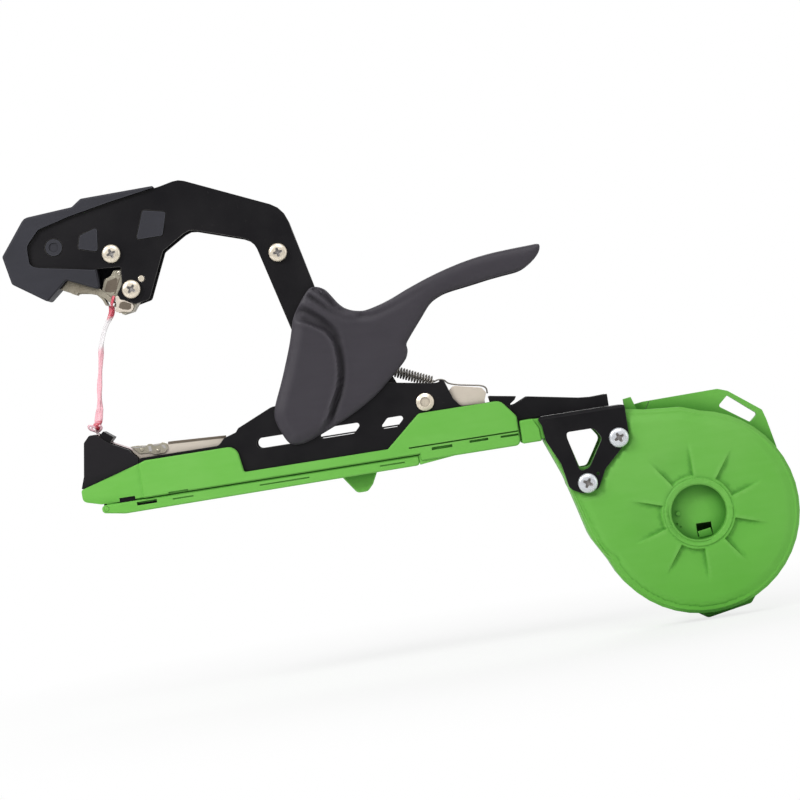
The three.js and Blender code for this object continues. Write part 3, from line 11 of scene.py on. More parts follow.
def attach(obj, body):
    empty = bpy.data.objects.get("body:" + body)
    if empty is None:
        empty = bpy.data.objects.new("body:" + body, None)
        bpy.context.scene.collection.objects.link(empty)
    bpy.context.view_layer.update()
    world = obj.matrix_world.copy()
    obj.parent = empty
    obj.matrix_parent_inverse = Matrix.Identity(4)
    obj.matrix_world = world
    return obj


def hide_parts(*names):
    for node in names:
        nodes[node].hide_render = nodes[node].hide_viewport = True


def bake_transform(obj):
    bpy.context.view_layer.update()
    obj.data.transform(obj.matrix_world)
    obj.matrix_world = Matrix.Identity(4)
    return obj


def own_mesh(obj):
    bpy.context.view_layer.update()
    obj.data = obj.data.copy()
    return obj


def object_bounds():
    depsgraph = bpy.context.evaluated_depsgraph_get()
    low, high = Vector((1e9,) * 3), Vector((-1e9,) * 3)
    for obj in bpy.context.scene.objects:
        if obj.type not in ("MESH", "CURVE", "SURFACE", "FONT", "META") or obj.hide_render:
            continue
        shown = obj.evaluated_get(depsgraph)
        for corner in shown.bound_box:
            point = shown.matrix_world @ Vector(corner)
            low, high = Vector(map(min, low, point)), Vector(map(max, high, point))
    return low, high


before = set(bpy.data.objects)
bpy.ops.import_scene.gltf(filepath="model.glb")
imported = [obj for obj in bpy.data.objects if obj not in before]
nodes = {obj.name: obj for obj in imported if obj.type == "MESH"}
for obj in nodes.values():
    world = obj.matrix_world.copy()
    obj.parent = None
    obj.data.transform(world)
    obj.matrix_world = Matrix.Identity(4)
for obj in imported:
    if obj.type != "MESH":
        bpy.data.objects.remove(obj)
cadLow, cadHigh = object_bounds()
mm = 0.001  # sizes are in millimetres from here on, with the rivet at the origin

# Camera: looks along +Y, rolled as the tool lies in the picture
camera = {
    "lens": 135.0, "sensor": 36.0, "roll": 9.0,
    "across": 381.6, "middle": (-11.63, -11.0, 2.81),  # the width it sees, and the place it looks at
}


def placed(name, data):
    made = bpy.data.objects.new(name, data)
    bpy.context.scene.collection.objects.link(made)
    return made


def makeCamera():
    data = bpy.data.cameras.new("cam")
    data.lens, data.sensor_width = camera["lens"], camera["sensor"]
    seen = placed("cam", data)
    away = camera["across"] * camera["lens"] / camera["sensor"]
    roll = math.radians(camera["roll"])
    right = Vector((math.cos(roll), 0, -math.sin(roll)))
    up = Vector((math.sin(roll), 0, math.cos(roll)))
    back = Vector((0, -1, 0))
    turn = Matrix((right, up, back)).transposed().to_4x4()
    seen.matrix_world = Matrix.Translation((Vector(camera["middle"]) + back * away) * mm) @ turn
    bpy.context.scene.camera = seen


makeCamera()
print("camera set")


# Finishes: a material, and maths on its sockets
class Wire:
    def __init__(self, look, socket):
        self.look, self.socket = look, socket

    def __add__(self, other):
        return self.look.maths("ADD", self, other)

    def __sub__(self, other):
        return self.look.maths("SUBTRACT", self, other)

    def __rsub__(self, other):
        return self.look.maths("SUBTRACT", other, self)

    def __mul__(self, other):
        return self.look.maths("MULTIPLY", self, other)

    def __truediv__(self, other):
        return self.look.maths("DIVIDE", self, other)

    def __rtruediv__(self, other):
        return self.look.maths("DIVIDE", other, self)

    __radd__, __rmul__ = __add__, __mul__


class Look:
    def __init__(self, name, settings, world=None):
        self.material = world or bpy.data.materials.new(name)
        self.material.use_nodes = True
        self.tree = self.material.node_tree
        self.shader = self.tree.nodes["Background" if world else "Principled BSDF"]
        for socket, value in settings.items():
            self.feed(self.shader.inputs[socket], value)

    def feed(self, socket, value):
        if isinstance(value, Wire):
            self.tree.links.new(value.socket, socket)
        elif socket.type == "RGBA":
            socket.default_value = (*value[:3], 1)
        else:
            socket.default_value = value

    def node(self, kind, settings=None, sockets=None, out=0):
        made = self.tree.nodes.new("ShaderNode" + kind)
        for key, value in (settings or {}).items():
            if key == "stops":
                ramp = made.color_ramp
                ramp.elements[0].position, ramp.elements[-1].position = value[0][0], value[-1][0]
                for place, _ in value[1:-1]:
                    ramp.elements.new(place)
                for element, (_, tone) in zip(ramp.elements, value):
                    element.color = (*tone, 1) if isinstance(tone, tuple) else (tone, tone, tone, 1)
            else:
                setattr(made, key, value)
        for key, value in (sockets or {}).items():
            self.feed(made.inputs[key], value)
        return Wire(self, made.outputs[out])

    def maths(self, operation, *values):
        return self.node("Math", {"operation": operation}, dict(enumerate(values)))

    def place(self):
        return self.node("TexCoord", out="Object")

    def height(self):
        return self.node("SeparateXYZ", None, {0: self.place()}, out="Z") / mm

    def stretched(self, scale, turn=(0, 0, 0)):
        angles = tuple(math.radians(a) for a in turn)
        return self.node("Mapping", None, {"Vector": self.place(), "Rotation": angles, "Scale": scale})

    def noise(self, scale, detail=2.0, where=None, rough=0.5):
        return self.node("TexNoise", None, {
            "Vector": where or self.place(), "Scale": scale, "Detail": detail, "Roughness": rough,
        })

    def ramp(self, value, *stops):
        return self.node("ValToRGB", {"stops": stops}, {"Fac": value})

    def span(self, value, low, high, toLow=0.0, toHigh=1.0):
        return self.node("MapRange", {"clamp": True}, {
            "Value": value, "From Min": low, "From Max": high, "To Min": toLow, "To Max": toHigh,
        })

    def blended(self, factor, first, second):
        return self.node("Mix", {"data_type": "RGBA"}, {0: factor, 6: first, 7: second}, out=2)

    def edgeMask(self, radius, low, high):
        # 1 where the surface turns within that radius
        bent = self.node("Bevel", {"samples": 6}, {"Radius": radius * mm})
        true = self.node("NewGeometry", out="Normal")
        like = self.node("VectorMath", {"operation": "DOT_PRODUCT"}, {0: bent, 1: true}, out="Value")
        return self.span(1 - like, low, high)

    def corner(self, reach, low, high):
        # 1 deep in a corner that other surfaces close in within that reach; the finishes paint shade there with it
        sky = self.node("AmbientOcclusion", {"samples": 6}, {"Distance": reach * mm}, out="AO")
        return self.span(sky, low, high, 1.0, 0.0)

    def bump(self, height, distance, strength=1.0):
        normal = self.node("Bump", None, {"Height": height, "Distance": distance * mm, "Strength": strength})
        self.feed(self.shader.inputs["Normal"], normal)

    def give(self, **sockets):
        for socket, value in sockets.items():
            self.feed(self.shader.inputs[socket.replace("_", " ")], value)
        return self.material


def shade(red, green, blue):
    return tuple((c / 255 / 12.92) if c < 10.3 else ((c / 255 + 0.055) / 1.055) ** 2.4 for c in (red, green, blue))


# Plastics: the moulding's tones, a lighter colour for painted highlights on edges and ridges, and a dark one for
# painted shade in corners and valleys
plastics = {
    "greenMoulded": {
        "main": (117, 188, 84), "deep": (96, 178, 60), "edge": (150, 210, 116), "paintedShade": (38, 112, 22),
        "corner": (9, 0.35, 0.93), "rough": 0.46, "shine": 0.2, "grain": 2300, "depth": 0.012, "drift": 0.5,
    },
    "nylonHead": {
        "main": (54, 54, 60), "deep": (44, 44, 49), "edge": (104, 104, 110), "paintedShade": (22, 22, 25),
        "corner": (4, 0.35, 0.9), "rough": 0.5, "shine": 0.16, "grain": 1900, "depth": 0.02, "drift": 0.6,
    },
    "gripMoulded": {
        "main": (62, 59, 65), "deep": (51, 48, 54), "edge": (92, 89, 95), "paintedShade": (18, 16, 20),
        "corner": (8, 0.6, 0.97), "rough": 0.48, "shine": 0.2, "grain": 1500, "depth": 0.03, "drift": 0.5,
        "valleyShade": 0.9,
    },
    "nylonNose": {
        "main": (32, 30, 33), "deep": (25, 24, 27), "edge": (66, 64, 66), "paintedShade": (12, 12, 14),
        "corner": (4, 0.35, 0.9), "rough": 0.48, "shine": 0.14, "grain": 1900, "depth": 0.02, "drift": 0.5,
    },
}
# the green for the finely meshed reel faces, with painted shade in their valleys
plastics["greenPressed"] = {**plastics["greenMoulded"], "valleyShade": 0.55}
plasticMarks = {
    "drift": 26, "flow": 60, "flowTurn": (0, 24, 0), "tone": (0.35, 0.68), "rub": 140, "rubbed": (0.62, 0.72),
    "edge": (0.7, 0.02, 0.3), "edgeHighlightShare": (0.25, 0.6), "low": (-45, -115), "lowShadeShare": 0.55, "cornerShadeShare": 0.8,
    "valleyShade": (0.44, 0.495), "ridge": (0.505, 0.58), "ridgeHighlightShare": 0.4,
}


def mouldedPlastic(name, way):
    # spark-eroded grain, slow drift of tone, faint flow lines and a few rubbed spots; then painted highlights on edges
    # and ridges, and painted shade low down, in corners and in valleys
    marks = plasticMarks
    main, deep, edge, paintedShade = (shade(*way[part]) for part in ("main", "deep", "edge", "paintedShade"))
    look = Look(name, {"Specular IOR Level": way["shine"]})
    drift = look.noise(marks["drift"], 3)
    flow = look.noise(marks["flow"], 2, look.stretched((1, 1, 5), marks["flowTurn"]))
    grain = look.noise(way["grain"], 3, rough=0.6)
    rubbed = look.span(look.noise(marks["rub"], 4, rough=0.65), *marks["rubbed"])
    tone = look.span(drift * 0.7 + flow * 0.3, *marks["tone"])
    colour = look.blended(tone * way["drift"], main, deep)
    # painted highlight: lighter along the turned edges, stronger where the tone drifts up
    lit = look.edgeMask(*marks["edge"]) * look.span(drift, 0.3, 0.7, *marks["edgeHighlightShare"])
    colour = look.blended(lit, colour, edge)
    # painted shade: darker towards the bottom, where less light falls
    colour = look.blended(look.span(look.height(), *marks["low"]) * marks["lowShadeShare"], colour, deep)
    # painted shade in corners that other surfaces close in
    colour = look.blended(look.corner(*way["corner"]) * marks["cornerShadeShare"], colour, paintedShade)
    if "valleyShade" in way:  # only on finely meshed pieces
        # painted shade in the mesh's valleys and a painted highlight on its ridges
        bend = look.node("NewGeometry", out="Pointiness")
        colour = look.blended(look.span(bend, *marks["valleyShade"], 1.0, 0.0) * way["valleyShade"], colour, paintedShade)
        colour = look.blended(look.span(bend, *marks["ridge"]) * marks["ridgeHighlightShare"], colour, edge)
    look.bump(grain + look.noise(way["grain"] / 6, 2) * 0.5, way["depth"])
    return look.give(
        Base_Color=colour,
        Roughness=way["rough"] + (drift - 0.5) * 0.16 + (grain - 0.5) * 0.1 - rubbed * 0.08,
    )


steelParts = ("main", "worn", "bare", "cloud", "wearAndHighlight", "rough", "metal", "shine", "peel", "depth", "corner", "scratch")
steels = {
    "blackedSteel": ((18, 17, 20), (74, 72, 72), (150, 146, 140),
                     0.1, 0.55, 0.38, 0.0, 0.13, 900, 0.012, 0.7, (0.735, 0.76)),
    "platedSteel": ((206, 198, 184), (150, 141, 126), (236, 232, 224),
                    0.25, 0.4, 0.3, 0.9, 0.5, 1300, 0.006, 0.7, (0.66, 0.74)),
    "coolSteel": ((226, 229, 234), (160, 163, 170), (246, 247, 248),
                  0.15, 0.4, 0.28, 0.6, 0.5, 1300, 0.005, 0.7, (0.68, 0.74)),
    "warmSteel": ((238, 227, 208), (168, 152, 130), (246, 240, 228),
                  0.2, 0.4, 0.28, 0.6, 0.5, 1300, 0.005, 0.7, (0.68, 0.74)),
    "beigeSteel": ((230, 219, 205), (176, 163, 146), (240, 232, 216),
                   0.3, 0.4, 0.36, 0.4, 0.5, 700, 0.015, 0.7, (0.64, 0.74)),
    "jawSteel": ((196, 190, 172), (122, 112, 96), (226, 218, 202),
                 0.75, 0.8, 0.32, 0.6, 0.5, 420, 0.03, 0.7, (0.56, 0.7)),
    # bright steel painted dark, for the shade in the gaps where it lies
    "railSteel": ((70, 68, 66), (40, 38, 36), (120, 118, 114),
                  0.2, 0.4, 0.4, 0.8, 0.5, 900, 0.01, 0.7, (0.6, 0.72)),
    "stainedSteel": ((124, 113, 100), (74, 64, 54), (170, 158, 142),
                     0.6, 0.5, 0.4, 0.55, 0.4, 600, 0.02, 0.7, (0.58, 0.7)),
    # a duller, darker steel for faces inside recesses and gaps: painted shade
    "recessSteel": ((186, 182, 180), (130, 126, 124), (90, 82, 72),
                    0.3, 0.0, 0.5, 0.2, 0.3, 1300, 0.01, 0.3, (0.6, 0.7)),
    "springWire": ((150, 146, 140), (92, 86, 78), (190, 186, 180),
                   0.3, 0.3, 0.3, 1.0, 0.5, 2400, 0.006, 0.7, (0.6, 0.72)),
}
steelMarks = {
    "cloud": 45, "lines": 260, "linesTurn": (0, 31, 0), "crossLines": 300, "crossTurn": (0, -22, 0),
    "patches": 24, "patched": (0.45, 0.62), "edge": (0.5, 0.03, 0.35), "chips": 70, "chipped": (0.3, 0.62),
    "corner": (3, 0.3, 0.85), "cornerTone": 0.16,
}


def steel(name, values):
    # orange peel of the coat, drawn lines one way, short scratches two ways, a cloudy shine, worn bare edges that also
    # paint a highlight, and painted shade in corners
    way, marks = dict(zip(steelParts, values)), steelMarks
    main, worn, bare = (shade(*way[part]) for part in ("main", "worn", "bare"))
    look = Look(name, {"Metallic": way["metal"], "Specular IOR Level": way["shine"]})
    cloud = look.noise(marks["cloud"], 3)
    peel = look.noise(way["peel"], 2)
    lines = look.noise(marks["lines"], 3, look.stretched((1, 1, 16), marks["linesTurn"]))
    crossLines = look.noise(marks["crossLines"], 3, look.stretched((14, 1, 1), marks["crossTurn"]))
    scratches = look.span(look.maths("MAXIMUM", lines, crossLines), *way["scratch"])
    scratches = scratches * look.span(look.noise(marks["patches"], 2), *marks["patched"])
    # worn bare edges, also a painted highlight along the turned edges
    edge = look.edgeMask(*marks["edge"]) * look.span(look.noise(marks["chips"], 3), *marks["chipped"])
    tone = look.span(cloud, 0.3, 0.7) * way["cloud"] + scratches * 0.5
    colour = look.blended(look.maths("MINIMUM", tone, 1.0), main, worn)
    colour = look.blended(edge * way["wearAndHighlight"], colour, bare)
    # painted shade in corners
    shadow = look.corner(*marks["corner"]) * way["corner"]
    colour = look.blended(shadow, colour, tuple(marks["cornerTone"] * c for c in worn))
    look.bump(peel - scratches * 0.6, way["depth"])
    return look.give(
        Base_Color=colour,
        Roughness=way["rough"] + (cloud - 0.5) * 0.2 + (peel - 0.5) * 0.08 - scratches * 0.1,
    )


films = {  # colour, alpha, roughness
    "runFilm": ((228, 206, 206), 0.9, 0.22), "rollFilm": ((236, 190, 200), 1.0, 0.3),
    "knotFilm": ((150, 20, 44), 1.0, 0.35),
}
strandShades = {
    "pink": shade(246, 178, 190), "clear": shade(240, 236, 238), "red": shade(208, 34, 70), "dark": shade(150, 20, 44),
}


def filmLook(name, rgb, alpha, rough):
    look = Look(name, {"Specular IOR Level": 0.5, "Alpha": alpha})
    colour = shade(*rgb)
    cloud = look.noise(90, 3)
    crease = look.noise(500, 3, look.stretched((1, 1, 6)))
    main = look.blended(look.span(cloud, 0.35, 0.7) * 0.35, colour, tuple(0.8 * c for c in colour))
    look.bump(crease, 0.05)
    return look.give(Base_Color=main, Roughness=rough + crease * 0.25)


def strandLook():
    # dark red knot at the nose, pink, clear where it is twisted, red at the cut end
    pink, clear, red, dark = (strandShades[key] for key in ("pink", "clear", "red", "dark"))
    look = Look("strandFilm", {"Specular IOR Level": 0.5})
    wave = look.noise(420, 3, look.stretched((1, 1, 5)))
    share = look.span(look.height() + (wave - 0.5) * 5, 12.0, 68.0)
    colour = look.ramp(
        share, (0.0, dark), (0.035, red), (0.07, pink), (0.64, pink), (0.7, clear), (0.9, clear),
        (0.935, red), (1.0, red),
    )
    streak = look.span(look.noise(900, 2, look.stretched((1, 1, 12))), 0.45, 0.7)
    colour = look.blended(streak * 0.45, colour, clear)
    alpha = look.ramp(share, (0.0, 1.0), (0.66, 0.92), (0.74, 0.5), (0.88, 0.5), (0.935, 1.0))
    look.bump(wave, 0.12)
    return look.give(Base_Color=colour, Roughness=0.2 + wave * 0.3, Alpha=alpha)


def cardLook():
    look = Look("rolledCard", {"Specular IOR Level": 0.2})
    fibre = look.noise(900, 4, look.stretched((1, 6, 1)))
    speck = look.noise(240, 3)
    mottle = look.span(fibre * 0.6 + speck * 0.4, 0.35, 0.65)
    look.bump(fibre, 0.06)
    return look.give(
        Base_Color=look.blended(mottle, shade(186, 158, 112), shade(148, 120, 80)),
        Roughness=0.82 + (speck - 0.5) * 0.2,
    )


finishes = {name: mouldedPlastic(name, way) for name, way in plastics.items()}
finishes.update({name: steel(name, values) for name, values in steels.items()})
finishes.update({name: filmLook(name, *values) for name, values in films.items()})
finishes["strandFilm"], finishes["rolledCard"] = strandLook(), cardLook()
print("finishes made:", len(finishes))

# Floor, background and lamps
studio = {
    "floorGap": 0.4, "floorSize": 6.0, "floorShade": (0.86, 0.86, 0.86), "shadow": 0.26, "nearShadow": 0.1,
    "farShadow": 0.34, "fill": 0.36, "levelShine": 0.42, "rise": (-0.1, 0.75),
    "lamps": [  # place, size, power
        ((-0.62, -0.5, 0.52), 0.32, 4.6), ((0.1, -0.75, 0.75), 0.5, 2.6),
        ((0.1, 0.85, 0.75), 0.8, 4.5), ((0.9, -0.5, 0.1), 0.6, 0.9),
    ],
}


def makeStudio():
    world = bpy.data.worlds.new("studio")
    bpy.context.scene.world = world
    sky = Look("studio", {"Color": (1, 1, 1)}, world)
    rise = sky.node("SeparateXYZ", None, {0: sky.node("TexCoord", out="Generated")}, out="Z")
    shine = sky.span(rise, *studio["rise"], studio["levelShine"], 1.0)  # gloss sees a bright ceiling and duller walls
    rays = ("Camera", "Glossy", "Transmission")
    seen, glossy, through = (sky.node("LightPath", out=f"Is {ray} Ray") for ray in rays)
    plain = sky.maths("MAXIMUM", seen, through)
    bare = (1 - plain) * (1 - glossy)
    sky.feed(sky.shader.inputs["Strength"], plain + glossy * (1 - plain) * shine + bare * studio["fill"])

    mesh = bpy.data.meshes.new("floor")
    side, level = studio["floorSize"] / 2, cadLow.z - studio["floorGap"] * mm
    corners = [(x * side, z * side, level) for x, z in ((-1, -1), (1, -1), (1, 1), (-1, 1))]
    mesh.from_pydata(corners, [], [(0, 1, 2, 3)])
    floor = placed("floor", mesh)
    look = Look("paleFloor", {"Roughness": 0.8, "Specular IOR Level": 0.1, "Base Color": studio["floorShade"]})
    away = look.node("VectorMath", {"operation": "LENGTH"}, {0: look.stretched((1.0, 1.0, 0.0))}, out="Value")
    fade = look.span(away, studio["nearShadow"], studio["farShadow"], studio["shadow"], 0.0)
    isSeen = look.node("LightPath", out="Is Camera Ray")
    white = look.node("Emission", None, {"Color": (1, 1, 1), "Strength": 1.0})
    mixed = look.node("MixShader", None, {0: isSeen * (1 - fade), 1: Wire(look, look.shader.outputs[0]), 2: white})
    look.tree.links.new(mixed.socket, look.tree.nodes["Material Output"].inputs["Surface"])
    floor.data.materials.append(look.material)

    for place, size, power in studio["lamps"]:
        data = bpy.data.lights.new("lamp", "AREA")
        data.shape, data.size, data.energy = "DISK", size, power
        lamp = placed("lamp", data)
        lamp.location = place
        lamp.rotation_mode = "QUATERNION"
        lamp.rotation_quaternion = (-Vector(place)).to_track_quat("-Z", "Y")


bpy.context.scene.view_settings.view_transform = "Standard"
makeStudio()
print("studio lit")

# The frame's own nodes: softened edges and a finish each
nodeLooks = {
    "greenMoulded": ["shell_near", "shell_far", "magazine_door", "rear_block", "reel_case", "reel_cover"],
    "blackedSteel": ["frame_channel", "clincher_arm", "reel_bracket", "tape_guide", "tape_clip"],
    "nylonHead": ["jaw_head"],
    "nylonNose": ["front_block", "staple_pusher"],
    "gripMoulded": ["operating_handle"],
    "beigeSteel": ["tape_deck", "spring_anchor"],
    "jawSteel": ["blade_guard", "clincher_plate", "tape_catch", "cutter_blade"],
    # steel painted dark for the shade it lies in
    "railSteel": ["magazine_rail", "door_pin", "pusher_rod"],
    "warmSteel": [
        "arm_screw_front", "arm_screw_lower", "arm_screw_rear", "arm_pivot_pin", "link_pin", "slot_pin", "catch_pin",
        "spring_pin", "arm_spacer", "arm_nut_front", "arm_nut_lower", "arm_nut_rear",
    ],
    "coolSteel": ["bracket_screw_upper", "bracket_screw_lower", "bracket_nut_upper", "bracket_nut_lower"],
    "platedSteel": ["staple_stick", "driver_blade", "cover_pin"],
    "rolledCard": ["spool_core"],
}
edges = {
    "width": 0.28, "fine": 0.12, "bracket": 0.6, "angle": 32.0, "carvedAngle": 30, "flat": 0.4, "weld": 0.002,
    "join": 0.0005,
}


def edgeWidth(name, finish):
    if name == "reel_bracket":
        return edges["bracket"]
    return edges["fine"] if "Steel" in finish and finish != "blackedSteel" else edges["width"]


def bevelled(made, width, degrees):
    soft = made.modifiers.new("round", "BEVEL")
    soft.width, soft.segments = width * mm, 2
    soft.limit_method, soft.angle_limit = "ANGLE", math.radians(degrees)
    made.modifiers.new("even", "WEIGHTED_NORMAL").weight = 60
    for polygon in made.data.polygons:
        polygon.use_smooth = True


for finish, names in nodeLooks.items():
    for name in names:
        node = nodes[name]
        node.data.materials.clear()
        node.data.materials.append(finishes[finish])
        weld = node.modifiers.new("weld", "WELD")
        weld.merge_threshold = edges["weld"] * mm
        flat = node.modifiers.new("flat", "DECIMATE")
        flat.decimate_type, flat.angle_limit = "DISSOLVE", math.radians(edges["flat"])
        bevelled(node, edgeWidth(name, finish), edges["angle"])
print("frame nodes finished")


# Mesh tools: each gives points and faces, and piece makes an object of them
def piece(name, points, faces, body, finish, replaced=(), smooth=True):
    mesh = bpy.data.meshes.new(name)
    mesh.from_pydata([Vector(p) * mm for p in points], [], faces)
    mesh.validate()
    made = placed(name, mesh)
    made.data.materials.append(finishes[finish])
    for polygon in mesh.polygons:
        polygon.use_smooth = smooth
    if body:
        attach(made, body)
    if replaced:
        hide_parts(*replaced)
    return made


def sharpen(made, degrees=38):
    mesh = made.data
    sculpted = bmesh.new()
    sculpted.from_mesh(mesh)
    bmesh.ops.remove_doubles(sculpted, verts=sculpted.verts, dist=edges["join"] * mm)
    bmesh.ops.recalc_face_normals(sculpted, faces=sculpted.faces)
    sculpted.to_mesh(mesh)
    sculpted.free()
    for polygon in mesh.polygons:
        polygon.use_smooth = True
    mesh.set_sharp_from_angle(angle=math.radians(degrees))
    return made


def rounded(made, width):
    bevelled(sharpen(made, edges["carvedAngle"]), width, edges["carvedAngle"])
    return made


def cutBy(made, knife, **settings):
    # takes the knife's form out of a piece, and throws the knife away
    cut = made.modifiers.new("cut", "BOOLEAN")
    cut.operation, cut.object, cut.solver = "DIFFERENCE", knife, "EXACT"
    for key, value in settings.items():
        setattr(cut, key, value)
    bpy.context.view_layer.update()
    shape = bpy.data.meshes.new_from_object(made.evaluated_get(bpy.context.evaluated_depsgraph_get()))
    made.modifiers.clear()
    made.data = shape
    bpy.data.objects.remove(knife)


def merged(*meshes):
    points, faces = [], []
    for somePoints, someFaces in meshes:
        base = len(points)
        points += somePoints
        faces += [tuple(k + base for k in someFace) for someFace in someFaces]
    return points, faces


def mirrored(shape):
    # with the same shape on the far side
    points, faces = shape
    return merged(shape, ([(x, -y, z) for x, y, z in points], [tuple(reversed(f)) for f in faces]))


def skinned(points, count):
    # a closed skin over sections of that many corners each
    last, faces = len(points) // count - 1, []
    for i in range(last):
        for k in range(count):
            n = (k + 1) % count
            faces.append((i * count + k, i * count + n, (i + 1) * count + n, (i + 1) * count + k))
    return points, faces + [tuple(reversed(range(count))), tuple(range(last * count, (last + 1) * count))]


def slabMesh(outline, low, high):
    return skinned([(x, y, z) for y in (low, high) for x, z in outline], len(outline))


def boxMesh(x0, x1, y0, y1, z0, z1):
    return slabMesh([(x0, z0), (x1, z0), (x1, z1), (x0, z1)], y0, y1)


def ring(centre, radius, count):
    turns = [2 * math.pi * k / count for k in range(count)]
    return [(centre[0] + radius * math.cos(turn), centre[1] + radius * math.sin(turn)) for turn in turns]


def arc(centre, radius, degrees, steps):
    low, high = (math.radians(a) for a in degrees)
    turns = [low + (high - low) * k / steps for k in range(steps + 1)]
    return [(centre[0] + radius * math.cos(turn), centre[1] + radius * math.sin(turn)) for turn in turns]


def turnedRound(centre, profile, sides):
    # a closed profile of radius and y, turned round its axis
    points, faces, count = [], [], len(profile)
    for i in range(sides):
        angle = 2 * math.pi * i / sides
        points += [(centre[0] + r * math.cos(angle), y, centre[1] + r * math.sin(angle)) for r, y in profile]
        n = (i + 1) % sides
        for k in range(count):
            m = (k + 1) % count
            faces.append((i * count + k, i * count + m, n * count + m, n * count + k))
    return points, faces


def spunSolid(centre, profile, sides):
    # a profile that starts and ends on its axis, turned round it
    inner = profile[1:-1]
    count = len(inner)
    points = [(centre[0], profile[0][1], centre[1]), (centre[0], profile[-1][1], centre[1])]
    faces = []
    for i in range(sides):
        angle = 2 * math.pi * i / sides
        points += [(centre[0] + r * math.cos(angle), y, centre[1] + r * math.sin(angle)) for r, y in inner]
        a, b = 2 + i * count, 2 + (i + 1) % sides * count
        faces += [(0, a, b), (1, b + count - 1, a + count - 1)]
        faces += [(a + k, a + k + 1, b + k + 1, b + k) for k in range(count - 1)]
    return points, faces


def smoothWay(a, b, c, d, t):
    # from b to c, with a before them and d after
    return 0.5 * (2 * b + (c - a) * t + (2 * a - 5 * b + 4 * c - d) * t * t + (3 * b - a - 3 * c + d) * t ** 3)


def curved(points, steps):
    # a smooth line through the given places
    given, line = [Vector(p) for p in points], []
    for i in range(len(given) - 1):
        around = [given[max(0, min(len(given) - 1, i + k))] for k in (-1, 0, 1, 2)]
        line += [smoothWay(*around, k / steps) for k in range(steps)]
    return line + [given[-1]]


def looped(corners, steps):
    # a smooth closed line through the given places
    count, line = len(corners), []
    for i in range(count):
        around = [Vector(corners[(i + k) % count]) for k in (-1, 0, 1, 2)]
        line += [tuple(smoothWay(*around, k / steps)) for k in range(steps)]
    return line


def swept(line, section):
    # a closed skin round a line: section(share) gives its corners as side and up
    points, last, side = [], len(line) - 1, Vector((0, 1, 0))
    for i, here in enumerate(line):
        along = (line[min(i + 1, last)] - line[max(i - 1, 0)]).normalized()
        side = (side - along * side.dot(along)).normalized()
        up = along.cross(side)
        points += [here + side * a + up * b for a, b in section(i / last)]
    return skinned(points, len(points) // len(line))


def banded(path, thick, low, high):
    # a strip of plastic that follows a line in the XZ plane and spans low to high across
    points, last = [], len(path) - 1
    for i, (x, z) in enumerate(path):
        before, after = path[max(i - 1, 0)], path[min(i + 1, last)]
        dx, dz = after[0] - before[0], after[1] - before[1]
        reach = math.hypot(dx, dz)
        nx, nz = dz / reach * thick, -dx / reach * thick
        points += [(x, low, z), (x, high, z), (x + nx, high, z + nz), (x + nx, low, z + nz)]
    return skinned(points, 4)


# Springs
returnSpring = {
    "pin": (-19.2, 19.6), "hookRadius": 1.9, "hook": (60, 330), "hookSteps": 20, "from": (-11.9, 16.8),
    "to": (5.6, 8.9), "coil": 2.4, "curls": 14, "steps": 22, "ease": 0.5, "wire": 0.38, "sides": 10, "tailSteps": 6,
    "tail": [(8.2, 9.6), (10.6, 9.0), (12.6, 7.2), (16.6, 5.8), (22.2, 4.7), (28.0, 3.5), (30.1, 1.9), (30.3, -0.6)],
}
pusherSpring = {
    "from": (-94.25, -17.0), "to": (7.65, -17.0), "coil": 2.15, "curls": 20, "steps": 18, "ease": 0, "wire": 0.25,
    "sides": 8,
}


def helix(way):
    # a coil whose ends come in to its axis over a part of a turn, the ease
    first, last = (Vector((way[end][0], 0, way[end][1])) for end in ("from", "to"))
    curls, steps, ease, across, line = way["curls"], way["steps"], way["ease"], Vector((0, 1, 0)), []
    other = (last - first).normalized().cross(across)
    for i in range(curls * steps + 1):
        turn = i / steps
        near = min(turn, curls - turn) / ease if ease else 1
        reach = way["coil"] * (1 if near >= 1 else math.sin(near * math.pi / 2))
        angle = 2 * math.pi * turn
        line.append(first.lerp(last, i / (curls * steps))
                    + other * (reach * math.cos(angle)) + across * (reach * math.sin(angle)))
    return line


def makeSpring(name, line, way, replaced):
    corners = ring((0, 0), way["wire"], way["sides"])
    made = piece(name, *swept(line, lambda share: corners), None, "springWire", [replaced])
    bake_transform(made)


def makeSprings():
    way = returnSpring
    hook = [Vector((x, 0, z)) for x, z in arc(way["pin"], way["hookRadius"], way["hook"], way["hookSteps"])]
    coil = helix(way)
    tail = curved([coil[-1]] + [(x, 0, z) for x, z in way["tail"]], way["tailSteps"])[1:]
    makeSpring("returnCoil", hook + coil + tail, way, "return_spring")
    way = pusherSpring
    makeSpring("pusherCoil", helix(way), way, "pusher_spring")


makeSprings()
print("springs wound")

